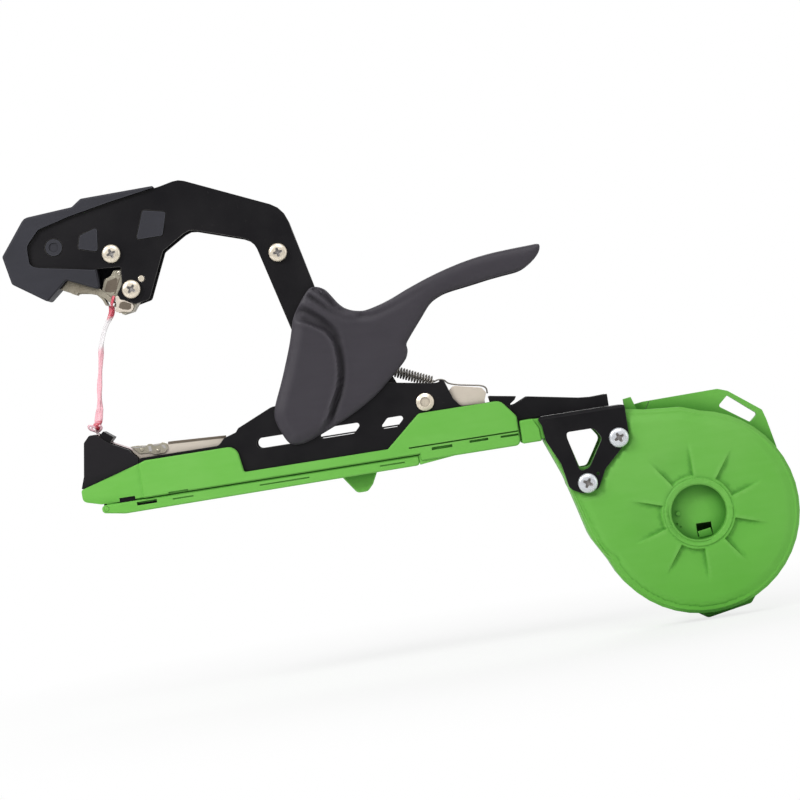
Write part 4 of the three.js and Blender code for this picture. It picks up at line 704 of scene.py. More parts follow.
# Tape: the roll, the run to the nose, and the strand across the jaws
tapeRun = {
    "width": 5.4, "thick": 0.15,
    "path": [
        (81.67, -72.2), (84.0, -20.0), (84.15, -15.4), (83.3, -14.0), (81.5, -13.85), (17.0, -13.85), (12.5, -13.1),
        (8.0, -12.0), (-83.2, -12.0), (-84.4, -11.6), (-92.8, -4.6), (-94.3, -4.15), (-138.4, -4.15),
        (-139.6, -3.6), (-142.7, -0.3), (-143.4, 0.2), (-151.7, 4.5), (-152.3, 4.9), (-157.2, 9.1), (-157.9, 10.0),
        (-157.97, 12.1),
    ],
}
tapeStrand = {
    "start": (-158.0, 12.5), "end": (-141.2, 69.2), "width": 1.7, "thick": 1.0, "sides": 28, "steps": 14,
    "twist": 4.6, "sway": (0.25, 17), "slant": 0.35, "ripple": (0.2, 40),
    "shares": [
        (0, 0), (0.05, 0.02), (0.11, 0.05), (0.17, 0.13), (0.2, 0.18), (0.276, 0.318), (0.39, 0.49), (0.51, 0.67),
        (0.7, 0.82), (0.94, 0.93), (1, 1),
    ],
    "flare": (0.4, 0.04), "pinch": (0.45, 0.8, 0.09), "folds": [(3, 9, 0.16), (7, -21, 0.1)],
    "tail": [
        (-141.2, -0.9, 69.3), (-141.0, -4.6, 69.4), (-140.6, -6.9, 69.9), (-139.9, -7.7, 71.4), (-139.0, -7.7, 73.4),
    ],
    "tailThick": 0.35, "tailWidth": 1.25, "tailSides": 16, "tailRidge": 0.5, "tailTaper": 0.4, "filmSteps": 8,
    "knot": (-157.3, 12.3), "knotSides": 18, "knotFoot": 10.0, "knotKept": 0.25,
    "ball": [(0, -2.6), (0.8, -2.5), (1.2, -2.0), (1.35, -1.0), (1.3, 0.8), (0.9, 2.0), (0, 2.2)],
    "loops": [
        [(-157.3, -2.1, 11.8), (-159.3, -2.5, 13.4), (-161.2, -2.1, 13.8), (-161.0, -1.7, 12.2), (-159.0, -1.5, 11.0),
         (-157.7, -1.2, 10.3)],
        [(-157.0, -1.8, 12.2), (-155.7, -2.2, 13.2), (-155.2, -1.8, 12.0), (-156.1, -1.5, 10.9), (-157.4, -1.0, 10.3)],
        [(-157.6, 1.0, 11.8), (-159.1, 1.6, 13.6), (-160.3, 2.2, 12.2), (-158.8, 2.0, 10.8), (-157.7, 1.2, 10.4)],
    ],
    "loopHalf": (0.12, 0.5),
}
tapeRoll = {"centre": (120.718, -72.214), "inner": 17.6, "outer": 38.55, "half": 5.45, "rings": 90, "sides": 128,
            "uneven": 0.22}


def makeTapeRun():
    way = tapeRun
    line = [Vector((x, 0, z)) for x, z in way["path"]]
    shares = ((-1, -0.5), (-1, 0.5), (-0.97, 1), (0.97, 1), (1, 0.5), (1, -0.5), (0.97, -1), (-0.97, -1))
    corners = [(way["width"] * a, way["thick"] * b) for a, b in shares]
    piece("tapeBand", *swept(line, lambda share: corners), "frame", "runFilm", ["tape_run"], False)


def strandSection(share):
    # folds that run lengthwise, tighter where the strand is twisted, flared and ragged at its ends
    way = tapeStrand
    flare = 1 - way["flare"][0] * math.exp(-(share / way["flare"][1]) ** 2)
    (most, place, width), (sway, swings), (swell, beats) = way["pinch"], way["sway"], way["ripple"]
    pinch = 1 - most * math.exp(-((share - place) / width) ** 2)
    turn = way["twist"] * share ** 2 + sway * math.sin(share * swings)
    corners = []
    for k in range(way["sides"]):
        angle = 2 * math.pi * k / way["sides"]
        fold = 1 + sum(high * math.sin(count * angle + lean * share) for count, lean, high in way["folds"])
        a = way["width"] * pinch * fold * math.cos(angle) * flare
        b = way["thick"] * pinch * fold * math.sin(angle) * (1 + swell * math.sin(share * beats))
        side = b * math.cos(turn) - a * math.sin(turn) * way["slant"]
        corners.append((side, a * math.cos(turn) + b * math.sin(turn)))
    return corners


def makeTapeStrand():
    way = tapeStrand
    (x0, z0), (x1, z1) = way["start"], way["end"]
    line = curved([(x0 + a * (x1 - x0), 0, z0 + b * (z1 - z0)) for a, b in way["shares"]], way["steps"])
    made = piece("gatheredStrand", *swept(line, strandSection), None, "strandFilm", ["tape_strand"])
    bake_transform(made)
    section = []
    for k in range(way["tailSides"]):
        turn, ridge = 2 * math.pi * k / way["tailSides"], 1 + way["tailRidge"] * (k % 2)
        section.append((way["tailThick"] * math.cos(turn) * ridge, way["tailWidth"] * math.sin(turn)))
    line = curved(way["tail"], way["filmSteps"])
    tail = swept(line, lambda share: [(a, b * (1 - way["tailTaper"] * share)) for a, b in section])
    piece("strandTail", *tail, "arm", "strandFilm")
    knot = piece("tapeKnot", *spunSolid(way["knot"], way["ball"], way["knotSides"]), "frame", "knotFilm")
    thick, wide = way["loopHalf"]
    film = [(-thick, -wide), (thick, -wide), (thick, wide), (-thick, wide)]
    loops = [swept(curved(loop, way["filmSteps"]), lambda share: film) for loop in way["loops"]]
    bow = piece("tapeLoops", *merged(*loops), "frame", "rollFilm")
    for made in (knot, bow):  # each gets a mesh of its own; on the real tool the closing jaws press the knot flat
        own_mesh(made)


def makeTapeRoll():
    # wound turns show as fine rings on the roll's two faces
    way = tapeRoll
    draw = random.Random(11)
    radii = [way["inner"] + (way["outer"] - way["inner"]) * k / way["rings"] for k in range(way["rings"] + 1)]
    profile = [(way["inner"], -way["half"])]
    profile += [(radius, -way["half"] + draw.uniform(0.0, way["uneven"])) for radius in radii]
    profile += [(radius, way["half"] - draw.uniform(0.0, way["uneven"])) for radius in reversed(radii)]
    piece("woundRoll", *turnedRound(way["centre"], profile, way["sides"]), "spool", "rollFilm", ["tape_roll"], False)


makeTapeRun()
makeTapeStrand()
makeTapeRoll()
print("tape laid")


# Moulded panels: a mesh of even triangles, with its surface set by the distance from its edge
def treeOf(places):
    tree = KDTree(len(places))
    for i, place in enumerate(places):
        tree.insert((place[0], place[1], 0), i)
    tree.balance()
    return tree


def divided(line, count):
    # the same closed line, cut up: count(length) says into how many parts each side goes
    places = []
    for here, after in zip(line, line[1:] + line[:1]):
        parts = count(math.dist(here, after))
        places += [(here[0] + (after[0] - here[0]) * k / parts, here[1] + (after[1] - here[1]) * k / parts)
                   for k in range(parts)]
    return places


def edgeTree(line, gap=0.3):
    return treeOf(divided(line, lambda length: max(1, int(length / gap))))


def farFrom(tree, x, z):
    return tree.find((x, z, 0))[2]


def within(line, x, z):
    odd = False
    for (x0, z0), (x1, z1) in zip(line, line[1:] + line[:1]):
        if (z0 > z) != (z1 > z) and x < (x1 - x0) * (z - z0) / (z1 - z0) + x0:
            odd = not odd
    return odd


def step(value, low, high):
    t = max(0.0, min(1.0, (value - low) / (high - low)))
    return t * t * (3 - 2 * t)


panels = {"insets": (0.45, 1.1), "insetLeast": 0.8, "edgeLeast": 1.7, "extraLeast": 0.3, "row": 0.866}


def innerPlaces(rims, gap, extra):
    # places to mesh through, each with the least distance that it keeps from the edges
    inner = []
    for rim, direction in zip(rims, [1] + [-1] * (len(rims) - 1)):
        area = sum(a[0] * b[1] - b[0] * a[1] for a, b in zip(rim, rim[1:] + rim[:1]))
        sense = direction if area > 0 else -direction
        for i, (x, z) in enumerate(rim):
            before, after = rim[i - 1], rim[(i + 1) % len(rim)]
            dx, dz = after[0] - before[0], after[1] - before[1]
            reach = math.hypot(dx, dz) or 1
            for off in panels["insets"]:
                inner.append((x - sense * dz / reach * off, z + sense * dx / reach * off, off * panels["insetLeast"]))
    low, high = ([end(p[k] for p in rims[0]) for k in (0, 1)] for end in (min, max))
    for row in range(int((high[1] - low[1]) / (gap * panels["row"])) + 1):
        for column in range(int((high[0] - low[0]) / gap) + 2):
            x, z = low[0] + (column + 0.5 * (row % 2)) * gap, low[1] + row * gap * panels["row"]
            inner.append((x, z, panels["edgeLeast"]))
    return inner + [(x, z, panels["extraLeast"]) for x, z in extra]


def moulded(line, holes, gap, face, back, extra=()):
    # a closed panel: face(x, z, distance from its edge) and back give its two surfaces
    rims = [line] + list(holes)
    trees = [edgeTree(rim) for rim in rims]
    places, loops = [], []
    for rim in rims:
        loops.append(list(range(len(places), len(places) + len(rim))))
        places += rim

    def isPanel(x, z):
        return within(line, x, z) and not any(within(hole, x, z) for hole in holes)

    for x, z, least in innerPlaces(rims, gap, extra):
        if min(farFrom(tree, x, z) for tree in trees) >= least and isPanel(x, z):
            places.append((x, z))
    found = delaunay_2d_cdt([Vector(p) for p in places], [], loops, 1, 1e-5)
    flat, kept = found[0], []
    for triangle in found[2]:
        if isPanel(*(sum((flat[k] for k in triangle), Vector((0, 0))) / 3)):
            kept.append(tuple(triangle))
    count = len(flat)
    points = [(x, face(x, z, min(farFrom(tree, x, z) for tree in trees)), z) for x, z in flat]
    points += [(x, back, z) for x, z in flat]
    faces = kept + [tuple(reversed([k + count for k in triangle])) for triangle in kept]
    sides = [side for triangle in kept for side in zip(triangle, triangle[1:] + triangle[:1])]
    known = set(sides)
    faces += [(b, a, a + count, b + count) for a, b in sides if (b, a) not in known]
    return points, faces


# Handle: two cheeks with a raised panel each, a web over the grip that closes its tip, and two ribs
handle = {
    "outline": [
        (-60, 36), (-57.5, 44), (-56, 49), (-53, 54), (-48.4, 60), (-45.4, 62.4), (-42, 62.2), (-38.8, 60.4),
        (-36.6, 57.6), (-33.4, 52.8), (-30, 49.8), (-25, 48), (-20, 47.9), (-10, 50.6), (0, 54.6), (10, 58.2),
        (20, 61.2), (30, 63.5), (40, 65), (50, 65.7), (60, 66.1), (64.4, 66.2), (65.6, 65.2), (64.8, 62.4), (62, 59.2),
        (58, 56.6), (54, 55.1), (48, 54.4), (40, 53.5), (30, 52), (20, 50.6), (15, 49.2), (10, 46.4), (4.6, 40.2),
        (-1.6, 32.8), (-4.3, 29), (-4.3, 25.6), (-5.6, 22.2), (-9, 18.6), (-16, 12.2), (-25, 5.2), (-37, -1.4),
        (-50, -7), (-58, -10), (-63, -10.6), (-66.8, -9.4), (-69.6, -4.6), (-71.6, 1), (-72, 5.4), (-70.4, 10.6),
        (-65.4, 22),
    ],
    "panel": [
        (-57.4, 47), (-53.6, 47.9), (-48, 45.2), (-42, 41), (-38.8, 36.4), (-37.6, 30), (-37.8, 22), (-39.6, 14),
        (-43.4, 6), (-47, -1), (-52, -7), (-60, -11), (-67, -11.6), (-72, -6), (-74, 4), (-70, 16), (-65, 28),
    ],
    "valleys": [  # line, width, depth, how soon it fades
        ([(-56, 52), (-51.2, 52.5), (-46, 49), (-41, 44.6), (-37.2, 40), (-35.2, 34)], 1.5, 3.6, 0.8),
        ([(-46.5, 58.4), (-42.2, 54.4), (-36.5, 48.8), (-30.6, 45.1), (-23, 43.6)], 1.2, 1.5, 0.9),
        ([(-43.4, 61.6), (-41.4, 60.2), (-37.6, 55.4), (-34.4, 50.8), (-30.6, 47.6)], 1.25, 2.2, 0.5),
        ([(-24, 45.6), (-18, 45.0), (-8, 47.6), (4, 52), (18, 57)], 1.6, 1.1, 0.9),
    ],
    "steps": 4, "panelSteps": 3, "valleySteps": 24, "pinSteps": 28,
    "half": 13.0, "inner": 10.8, "least": 0.35, "round": 5.2, "drop": 1.9, "gap": 1.1, "valleyEdge": 0.8,
    "raised": 1.5, "raisedEdge": (-0.5, 0.8), "lip": (0.4, 1.3, 0.8), "moat": (-1.1, -1.5, 1.3),
    "pins": [(-30, 28), (-61.2, -7.2)], "pinSeat": 3.3, "pinFace": 1.3, "pinRings": (3.2, 3.45),
    "web": 3.0, "webFrom": 6, "webTo": 25, "webOver": 0.36,
    "ribs": [(14.9, 50.3, 57.5), (32.8, 53.6, 62.0)], "ribHalf": 1.0,
}


def makeHandle():
    way = handle
    line, panel = looped(way["outline"], way["steps"]), looped(way["panel"], way["panelSteps"])
    panelTree, valleys = edgeTree(panel), []
    for path, width, depth, fade in way["valleys"]:
        places = curved([(x, z, 0) for x, z in path], way["valleySteps"])
        valleys.append((treeOf(places), len(places) - 1, width, depth, fade))

    def reach(x, z, away):
        near = min(1.0, away / way["round"])
        shape = way["half"] - way["drop"] * (1 - math.sqrt(1 - (1 - near) ** 2))
        toPanel = farFrom(panelTree, x, z) * (1 if within(panel, x, z) else -1)
        shape += way["raised"] * step(toPanel, *way["raisedEdge"]) * near
        for high, place, width in (way["lip"], way["moat"]):
            shape += high * math.exp(-((toPanel - place) / width) ** 2) * near
        for tree, last, width, depth, fade in valleys:
            _, index, off = tree.find((x, z, 0))
            share = (1 - index / last) ** fade * min(1, away / way["valleyEdge"])
            shape -= depth * math.exp(-(off / width) ** 2) * share
        return max(shape, way["inner"] + way["least"])

    def farReach(x, z, away):
        shape = reach(x, z, away)
        seat = min(math.dist((x, z), pin) for pin in way["pins"])
        return min(shape, way["inner"] + way["pinFace"]) if seat < way["pinSeat"] else shape

    rings = []
    for pin in way["pins"]:
        for radius in way["pinRings"]:
            rings += ring(pin, radius, way["pinSteps"])
    near = moulded(line, [], way["gap"], lambda x, z, away: -reach(x, z, away), -way["inner"])
    far = moulded(line, [], way["gap"], farReach, way["inner"], rings)
    inset = way["inner"] + way["webOver"]
    top = line[way["steps"] * way["webFrom"]:way["steps"] * way["webTo"] + 1]
    web = banded(top, way["web"], -inset, inset)
    ribs = [banded([(x, low), (x, high)], way["ribHalf"], -inset, inset) for x, low, high in way["ribs"]]
    sharpen(piece("squeezeHandle", *merged(near, far, web, *ribs), "handle", "gripMoulded", ["operating_handle"]))


makeHandle()
print("handle moulded")

# Screws: pan heads with a pressed cross, threads, and the far end past the nut
screws = {
    "arm": {
        "places": {"front": (-136.93, 93.35), "lower": (-130.08, 75.17), "rear": (-58.26, 81.55)},
        "seat": -9.0, "rise": 2.3, "radius": 4.45, "shank": 2.0, "end": 13.2, "cross": 2.45, "blade": 0.5,
        "depth": 1.5, "turns": (17, 52, 8),
    },
    "bracket": {
        "places": {"upper": (88.49, -31.09), "lower": (70.51, -50.18)},
        "seat": -14.1, "rise": 2.6, "radius": 4.75, "shank": 2.2, "end": 18.5, "cross": 2.65, "blade": 0.53,
        "depth": 1.7, "turns": (24, 60),
    },
    "sides": 48, "crownSteps": 9, "firstRing": 0.3, "flat": 0.28, "skirt": 0.25, "crown": 0.7, "chamfer": 0.12,
    "pitch": 0.8, "threadFrom": 8.0, "thread": 0.28, "fillet": 1.7, "crossTop": (0.6, 1.1), "crossFoot": 0.55,
}


def crossCutter(place, way, turn):
    # a tapered cross, with the corners between its blades filled a little
    long, wide, head = way["cross"], way["blade"], way["seat"] - way["rise"]
    shape = [(long, -wide), (long, wide), (wide * screws["fillet"], wide * screws["fillet"])]
    corners = []
    for k in range(4):
        c, s = math.cos(k * math.pi / 2), math.sin(k * math.pi / 2)
        corners += [(a * c - b * s, a * s + b * c) for a, b in shape]
    c, s = math.cos(math.radians(turn)), math.sin(math.radians(turn))
    (above, wider), narrower, points = screws["crossTop"], screws["crossFoot"], []
    for y, share in ((head - above, wider), (head + way["depth"], narrower)):
        points += [(place[0] + (a * c - b * s) * share, y, place[1] + (a * s + b * c) * share) for a, b in corners]
    return skinned(points, len(corners))


def screwProfile(way):
    r, seat, rise, outer, y = way["radius"], way["seat"], way["rise"], way["shank"], screws["threadFrom"]
    steps, flat, skirt, chamfer = (screws[key] for key in ("crownSteps", "flat", "skirt", "chamfer"))
    profile = [(0.0, seat - rise)]
    for k in range(1, steps):
        lean = k / steps * math.pi / 2
        share = flat + (1 - flat) * math.sin(lean) if k > 1 else screws["firstRing"]
        profile.append((r * share, seat - rise * (skirt + (1 - skirt) * math.cos(lean) ** screws["crown"])))
    profile += [(r, seat - rise * skirt), (r, seat - chamfer), (r - chamfer, seat), (outer, seat), (outer, y)]
    while y + screws["pitch"] < way["end"]:
        profile += [(outer - screws["thread"], y + screws["pitch"] / 2), (outer, y + screws["pitch"])]
        y += screws["pitch"]
    return profile + [(outer - 0.3, way["end"]), (0.0, way["end"])]


def makeScrews(kind, body, finish):
    way = screws[kind]
    for (name, place), turn in zip(way["places"].items(), way["turns"]):
        made = piece(f"{kind}Screw{name.title()}", *spunSolid(place, screwProfile(way), screws["sides"]), None, finish)
        cutter = piece("crossCutter", *crossCutter(place, way, turn), None, "recessSteel")
        cutBy(sharpen(made), sharpen(cutter), use_self=True, material_mode="TRANSFER")
        sharpen(made, edges["carvedAngle"])
        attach(made, body)
        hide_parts(f"{kind}_screw_{name}")


makeScrews("arm", "arm", "warmSteel")
makeScrews("bracket", "frame", "coolSteel")
print("screws driven")

# Reel: a crowned face on each half of the case, with the rim of the hub and sunken petals
reel = {
    "centre": (120.718, -72.214), "radius": 48.4, "inset": 1.5, "arc": (200, 440), "arcSteps": 150,
    "neck": [  # shares of the radius from the centre
        (-0.014, 1.052), (-0.365, 1.08), (-0.52, 1.1), (-0.55, 1.112), (-1.352, 1.112), (-1.385, 1.09),
        (-1.392, 0.99), (-1.375, 0.88), (-1.31, 0.7), (-1.245, 0.51), (-1.19, 0.3), (-1.13, 0.09), (-1.065, -0.11),
        (-1.0, -0.26),
    ],
    "neckIn": 0.985, "neckDrop": 0.028, "coverArc": (-191.5, 121.5), "coverCuts": 20, "gap": 1.3,
    "window": [
        (64.2, -24.8), (77.3, -24.8), (80.8, -29.9), (77, -36.6), (72.9, -42.4), (68, -42.4), (64.9, -33), (64.1, -28),
    ],
    "windowSteps": 4, "sharp": 34, "hole": 13.25, "holeSteps": 96, "face": 12.0, "wall": 0.4,
    "edgeDrop": 0.15, "crown": 0.95, "crownFrom": 5.5, "dome": 0.25,
    "domeRadius": 46, "rim": 0.75, "rimFrom": (13.2, 13.8), "rimTo": (15.8, 16.6),
    "rings": (13.8, 14.1, 16.0, 16.5, 16.9), "ringSteps": 90,
    "petals": 5, "petalHalf": 18.0, "petalInner": 17.8, "petalOuter": 36.0, "petalDepth": 1.4, "petalEdge": 0.42,
    "petalFade": 3, "petalLines": (-0.35, 0.0, 0.35), "petalEnds": (-0.5, 0.0, 0.5), "lineSteps": 23, "endSteps": 12,
    "seam": 0.55, "seamAt": 1.1, "seamWidth": 0.35, "seamFrom": (150, 175), "seamTo": (275, 300),
    "bracketBack": [(50, -14), (94.6, -14), (94.6, -33), (89, -38), (79, -49), (77, -55.5), (69, -57), (60, -52)],
    "bracketFace": 0.2,
}


def petalSunk(x, z):
    # how far a place lies inside a petal, 0 to 1
    dx, dz = x - reel["centre"][0], z - reel["centre"][1]
    r, angle = math.hypot(dx, dz), math.degrees(math.atan2(dz, dx))
    pitch = 360 / reel["petals"]
    lean = abs((angle + pitch / 2) % pitch - pitch / 2)
    toSide = math.radians(reel["petalHalf"] - abs(pitch / 2 - lean)) * r
    inside = min(toSide, r - reel["petalInner"])
    fade = 1 - step(r, reel["petalInner"] + reel["petalFade"], reel["petalOuter"])
    return step(inside, -reel["petalEdge"], reel["petalEdge"]) * fade


def reelFace(x, z, away):
    way = reel
    r = math.dist((x, z), way["centre"])
    shape = way["face"] - way["edgeDrop"] + (way["crown"] + way["edgeDrop"]) * step(away, 0, way["crownFrom"])
    shape += way["dome"] * (1 - min(1, r / way["domeRadius"]) ** 2) - way["petalDepth"] * petalSunk(x, z)
    angle = math.degrees(math.atan2(z - way["centre"][1], x - way["centre"][0])) % 360
    share = step(angle, *way["seamFrom"]) * (1 - step(angle, *way["seamTo"]))
    shape -= way["seam"] * share * math.exp(-((away - way["seamAt"]) / way["seamWidth"]) ** 2)
    return shape + way["rim"] * step(r, *way["rimFrom"]) * (1 - step(r, *way["rimTo"]))


def petalPlaces():
    # places along the petals' sides and ends and the hub's rim, where the panel needs its mesh
    way, places = reel, []

    def add(r, angle):
        places.append((way["centre"][0] + r * math.cos(angle), way["centre"][1] + r * math.sin(angle)))

    half, pitch = math.radians(way["petalHalf"]), 360 / way["petals"]
    for k in range(way["petals"]):
        middle = math.radians(pitch / 2 + pitch * k)
        for side in (-1, 1):
            for off in way["petalLines"]:
                for j in range(way["lineSteps"] + 1):
                    r = way["petalInner"] + (way["petalOuter"] - way["petalInner"]) * j / way["lineSteps"]
                    add(r, middle + side * half + off / r)
        for off in way["petalEnds"]:
            for j in range(way["endSteps"] + 1):
                add(way["petalInner"] + off, middle - half + 2 * half * j / way["endSteps"])
    for r in way["rings"]:
        places += ring(way["centre"], r, way["ringSteps"])
    return places


def makeReelFaces():
    way = reel
    r, (x0, z0) = way["radius"], way["centre"]
    neck = [(x0 + x * way["neckIn"] * r, z0 + (z - (way["neckDrop"] if z > 1 else 0)) * r) for x, z in way["neck"]]
    line = arc(way["centre"], r - way["inset"], way["arc"], way["arcSteps"]) + neck
    line = divided(line, lambda length: max(1, math.ceil(length / way["gap"])))
    holes = [ring(way["centre"], way["hole"], way["holeSteps"]), looped(way["window"], way["windowSteps"])]

    def face(x, z, away):
        shape = reelFace(x, z, away)
        if within(way["bracketBack"], x, z):  # the steel bracket lies flat on it
            shape = min(shape, way["face"] + way["bracketFace"])
        return -shape

    back = way["face"] - way["wall"]
    near = moulded(line, holes, way["gap"], face, -back, petalPlaces())
    sharpen(piece("reelFaceNear", *near, "frame", "greenPressed"), way["sharp"])

    line = arc(way["centre"], r - way["inset"], way["coverArc"], way["arcSteps"])
    first, last, cuts = line[0], line[-1], way["coverCuts"]
    line += [(last[0] + (first[0] - last[0]) * k / cuts, last[1] + (first[1] - last[1]) * k / cuts)
             for k in range(1, cuts)]
    far = moulded(line, [], way["gap"], reelFace, back, petalPlaces())
    sharpen(piece("reelFaceFar", *far, "cover", "greenPressed"), way["sharp"])


hub = {
    "tongue": [(119.6, -84.8), (126.2, -84.2), (125.6, -80.6), (119.2, -81.6)], "tongueY": (-7.4, -5.4),
    "tongueRound": 0.3, "pipSides": 20, "pipSharp": 50,
    "pips": [(111.3, -71.8, 1.0), (110.2, -76.4, 0.45), (111.6, -78.0, 0.35)], "floor": -7.0,
    "pipProfile": [(0.45, 0.2), (0.45, -0.25), (0.7, -0.45), (1, -0.25), (1, 0.2)],
}


def makeHub():
    rounded(piece("hubTongue", *slabMesh(hub["tongue"], *hub["tongueY"]), "frame", "greenMoulded"), hub["tongueRound"])
    pips = [turnedRound((x, z), [(r * share, hub["floor"] + y) for share, y in hub["pipProfile"]], hub["pipSides"])
            for x, z, r in hub["pips"]]
    sharpen(piece("hubPips", *merged(*pips), "frame", "greenMoulded"), hub["pipSharp"])


makeReelFaces()
makeHub()
print("reel faces pressed")

# Shells, door, bracket and frame: the frame's own forms with what the moulding and the press gave them
shells = {
    "crease": -139.0, "tip": -168.4, "fold": 0.8, "foldIn": 0.85, "taper": 1.3, "leans": 11.5, "half": 13.0,
    "marks": [
        (-127.5, -118, -24.8, -23.2), (-0.3, 9.6, -23.2, -21.8), (18, 27, -22.6, -21.4), (33, 41.6, -22.6, -21.6),
        (-11, 41.8, -20.9, -20.2),
    ],
    "markDepth": 1.3, "hole": (-151.2, -143.6, -25.6, -22.5), "holeDepth": 2.57, "round": 0.45,
}
door = {
    "half": 12.4, "slot": (-143.2, -133.5, -27.3, -25.6), "slotDepth": 2.0, "round": 0.45,
    "combs": [(-126, -116), (-84, -60), (-26, -14)], "combZ": (-27.2, -26.5), "combDepth": 0.5,
}
bend = {"half": 13.8, "top": -15.8, "cut": 1.25, "over": 0.6, "from": 50, "to": 96, "proud": 0.05, "round": 0.35}
rails = {
    "dip": [(-15.6, 14), (-15.6, 11.9), (-5.7, 10.2), (2.8, 8.7), (6.6, 8.3), (8.4, 8.6), (9.6, 14)], "half": 12,
    "round": 0.28,
}


def carved(name, source, cutters, width, change=None, body="frame", finish="greenMoulded"):
    # a new piece on a frame node's form, with the cutters taken out of it
    shape = bmesh.new()
    shape.from_mesh(nodes[source].data)
    bmesh.ops.remove_doubles(shape, verts=shape.verts, dist=edges["weld"] * mm)
    bmesh.ops.dissolve_limit(shape, angle_limit=math.radians(edges["flat"]), verts=shape.verts, edges=shape.edges)
    if change:
        change(shape)
    mesh = bpy.data.meshes.new(name)
    shape.to_mesh(mesh)
    shape.free()
    made = placed(name, mesh)
    mesh.materials.clear()
    mesh.materials.append(finishes[finish])
    cutBy(made, sharpen(piece("knife", *merged(*cutters), None, finish)))
    rounded(made, width)
    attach(made, body)
    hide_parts(source)


def sideBox(side, half, depth, place):
    # a box that goes that deep into one side
    x0, x1, z0, z1 = place
    near, far = sorted((side * (half + 1), side * (half - depth)))
    return boxMesh(x0, x1, near, far, z0, z1)


def tapered(shape, side):
    # past the crease the shell's side folds in and leans towards the tip
    way = shells
    for place in (way["crease"], way["crease"] - way["fold"]):
        everything = [*shape.verts, *shape.edges, *shape.faces]
        bmesh.ops.bisect_plane(shape, geom=everything, plane_co=(place * mm, 0, 0), plane_no=(1, 0, 0))
    for vertex in shape.verts:
        past = way["crease"] - vertex.co.x / mm
        ahead = max(0.0, past) / (way["crease"] - way["tip"])
        folded = max(0.0, min(1.0, past / way["fold"]))
        if abs(vertex.co.y) / mm > way["leans"]:
            vertex.co.y -= side * (way["taper"] * ahead + way["foldIn"] * folded) * mm


def makeShells():
    way = shells
    for side, source, name in ((-1, "shell_near", "sideNear"), (1, "shell_far", "sideFar")):
        cutters = [sideBox(side, way["half"], way["markDepth"], mark) for mark in way["marks"]]
        cutters.append(sideBox(side, way["half"], way["holeDepth"], way["hole"]))
        carved(name, source, cutters, way["round"], lambda shape, side=side: tapered(shape, side))


def makeDoor():
    way, cutters = door, []
    for side in (-1, 1):
        cutters.append(sideBox(side, way["half"], way["slotDepth"], way["slot"]))
        cutters += [sideBox(side, way["half"], way["combDepth"], (*comb, *way["combZ"])) for comb in way["combs"]]
    carved("bottomDoor", "magazine_door", cutters, way["round"], body="door")


def bentEdge(side):
    # a wedge that takes the sharp edge off the bracket's fold
    half, top, cut, over, proud = (bend[key] for key in ("half", "top", "cut", "over", "proud"))
    corner = [(half + proud, top - cut), (half - cut, top + proud), (half + over, top + over)]
    return skinned([(x, side * y, z) for x in (bend["from"], bend["to"]) for y, z in corner], len(corner))


def makePressed():
    dip = slabMesh(rails["dip"], -rails["half"], rails["half"])
    carved("frameRails", "frame_channel", [dip], rails["round"], finish="blackedSteel")
    carved("bentBracket", "reel_bracket", [bentEdge(-1), bentEdge(1)], bend["round"], finish="blackedSteel")


magazine = {
    "flange": (-157.5, -5, 9.9, 10.4, -26.4, -21.4), "doorPlate": (-146, -131, 9.6, 10.3, -28.4, -25.4),
    "holePlate": (-151.6, -143.2, 9.9, 10.75, -25.3, -22.2),
    "step": [(-6.95, -24.4), (-6.95, -29.2), (11, -27.3), (11, -24.4)], "stepHalf": 12.1,
    "pinAt": (-157.8, -26.6), "pinSides": 24,
    "pinCap": [(0.0, 11.6), (1.15, 11.6), (1.2, 12.4), (1.0, 12.5), (0.0, 12.5)],
    "blockFill": [(48.6, -15.95), (54.6, -16.3), (56.6, -20.4), (58.4, -25.2), (48.6, -26.6)], "blockHalf": 12.4,
    "shim": (42.6, 53.4, -8.5, 8.5, -16.3, -14.9), "linerFoot": (-58, -9, 5.9, 6.4, -9.4, -8.7),
    "shoe": [
        (-142.6, 0.9), (-139, 0.9), (-134.6, 0.3), (-134, 0.8), (-132.4, 0.8), (-131.8, 0.3), (-128, 0.3), (-127, 0.7),
        (-125.2, -0.1), (-124.7, -2.8), (-126.6, -4.5), (-131.5, -4.7), (-133.5, -3.4), (-138.6, -3.2), (-140.2, -1.4),
    ],
    "shoeY": (-7.4, -6.75), "gapY": (-7.48, -7.3), "studs": [(-137.2, -1.4, 0.9), (-129.6, -2.9, 0.8)],
    "studSides": 20,
    "studProfile": [(0.0, -7.9), (0.8, -7.85), (1, -7.6), (1, -7.2), (0.0, -7.2)],
    "gaps": [
        [(-134.1, -0.2), (-132.7, -0.2), (-132.4, -2.8), (-133.9, -2.8)],
        [(-127.8, -0.5), (-126.3, -0.7), (-125.5, -2.3), (-126.5, -2.7), (-127.3, -1.5)],
        [(-141.4, 0.35), (-135.2, 0.1), (-135.2, -0.35), (-141, -0.1)],
        [(-131.6, 0.1), (-128.4, 0.1), (-128.6, -0.4), (-131.4, -0.5)],
    ],
    "edge": [(-124.4, -0.7), (-124.4, 0.5), (-121, 0.4), (-96.5, -0.8), (-96.5, -2.0), (-110, -1.35)],
    "edgeY": (-6.95, -6.2),
}


def fitted(*parts):
    # small parts with rounded edges: name, mesh, body, finish, width of the edge
    for name, mesh, body, finish, width in parts:
        rounded(piece(name, *mesh, body, finish), width)


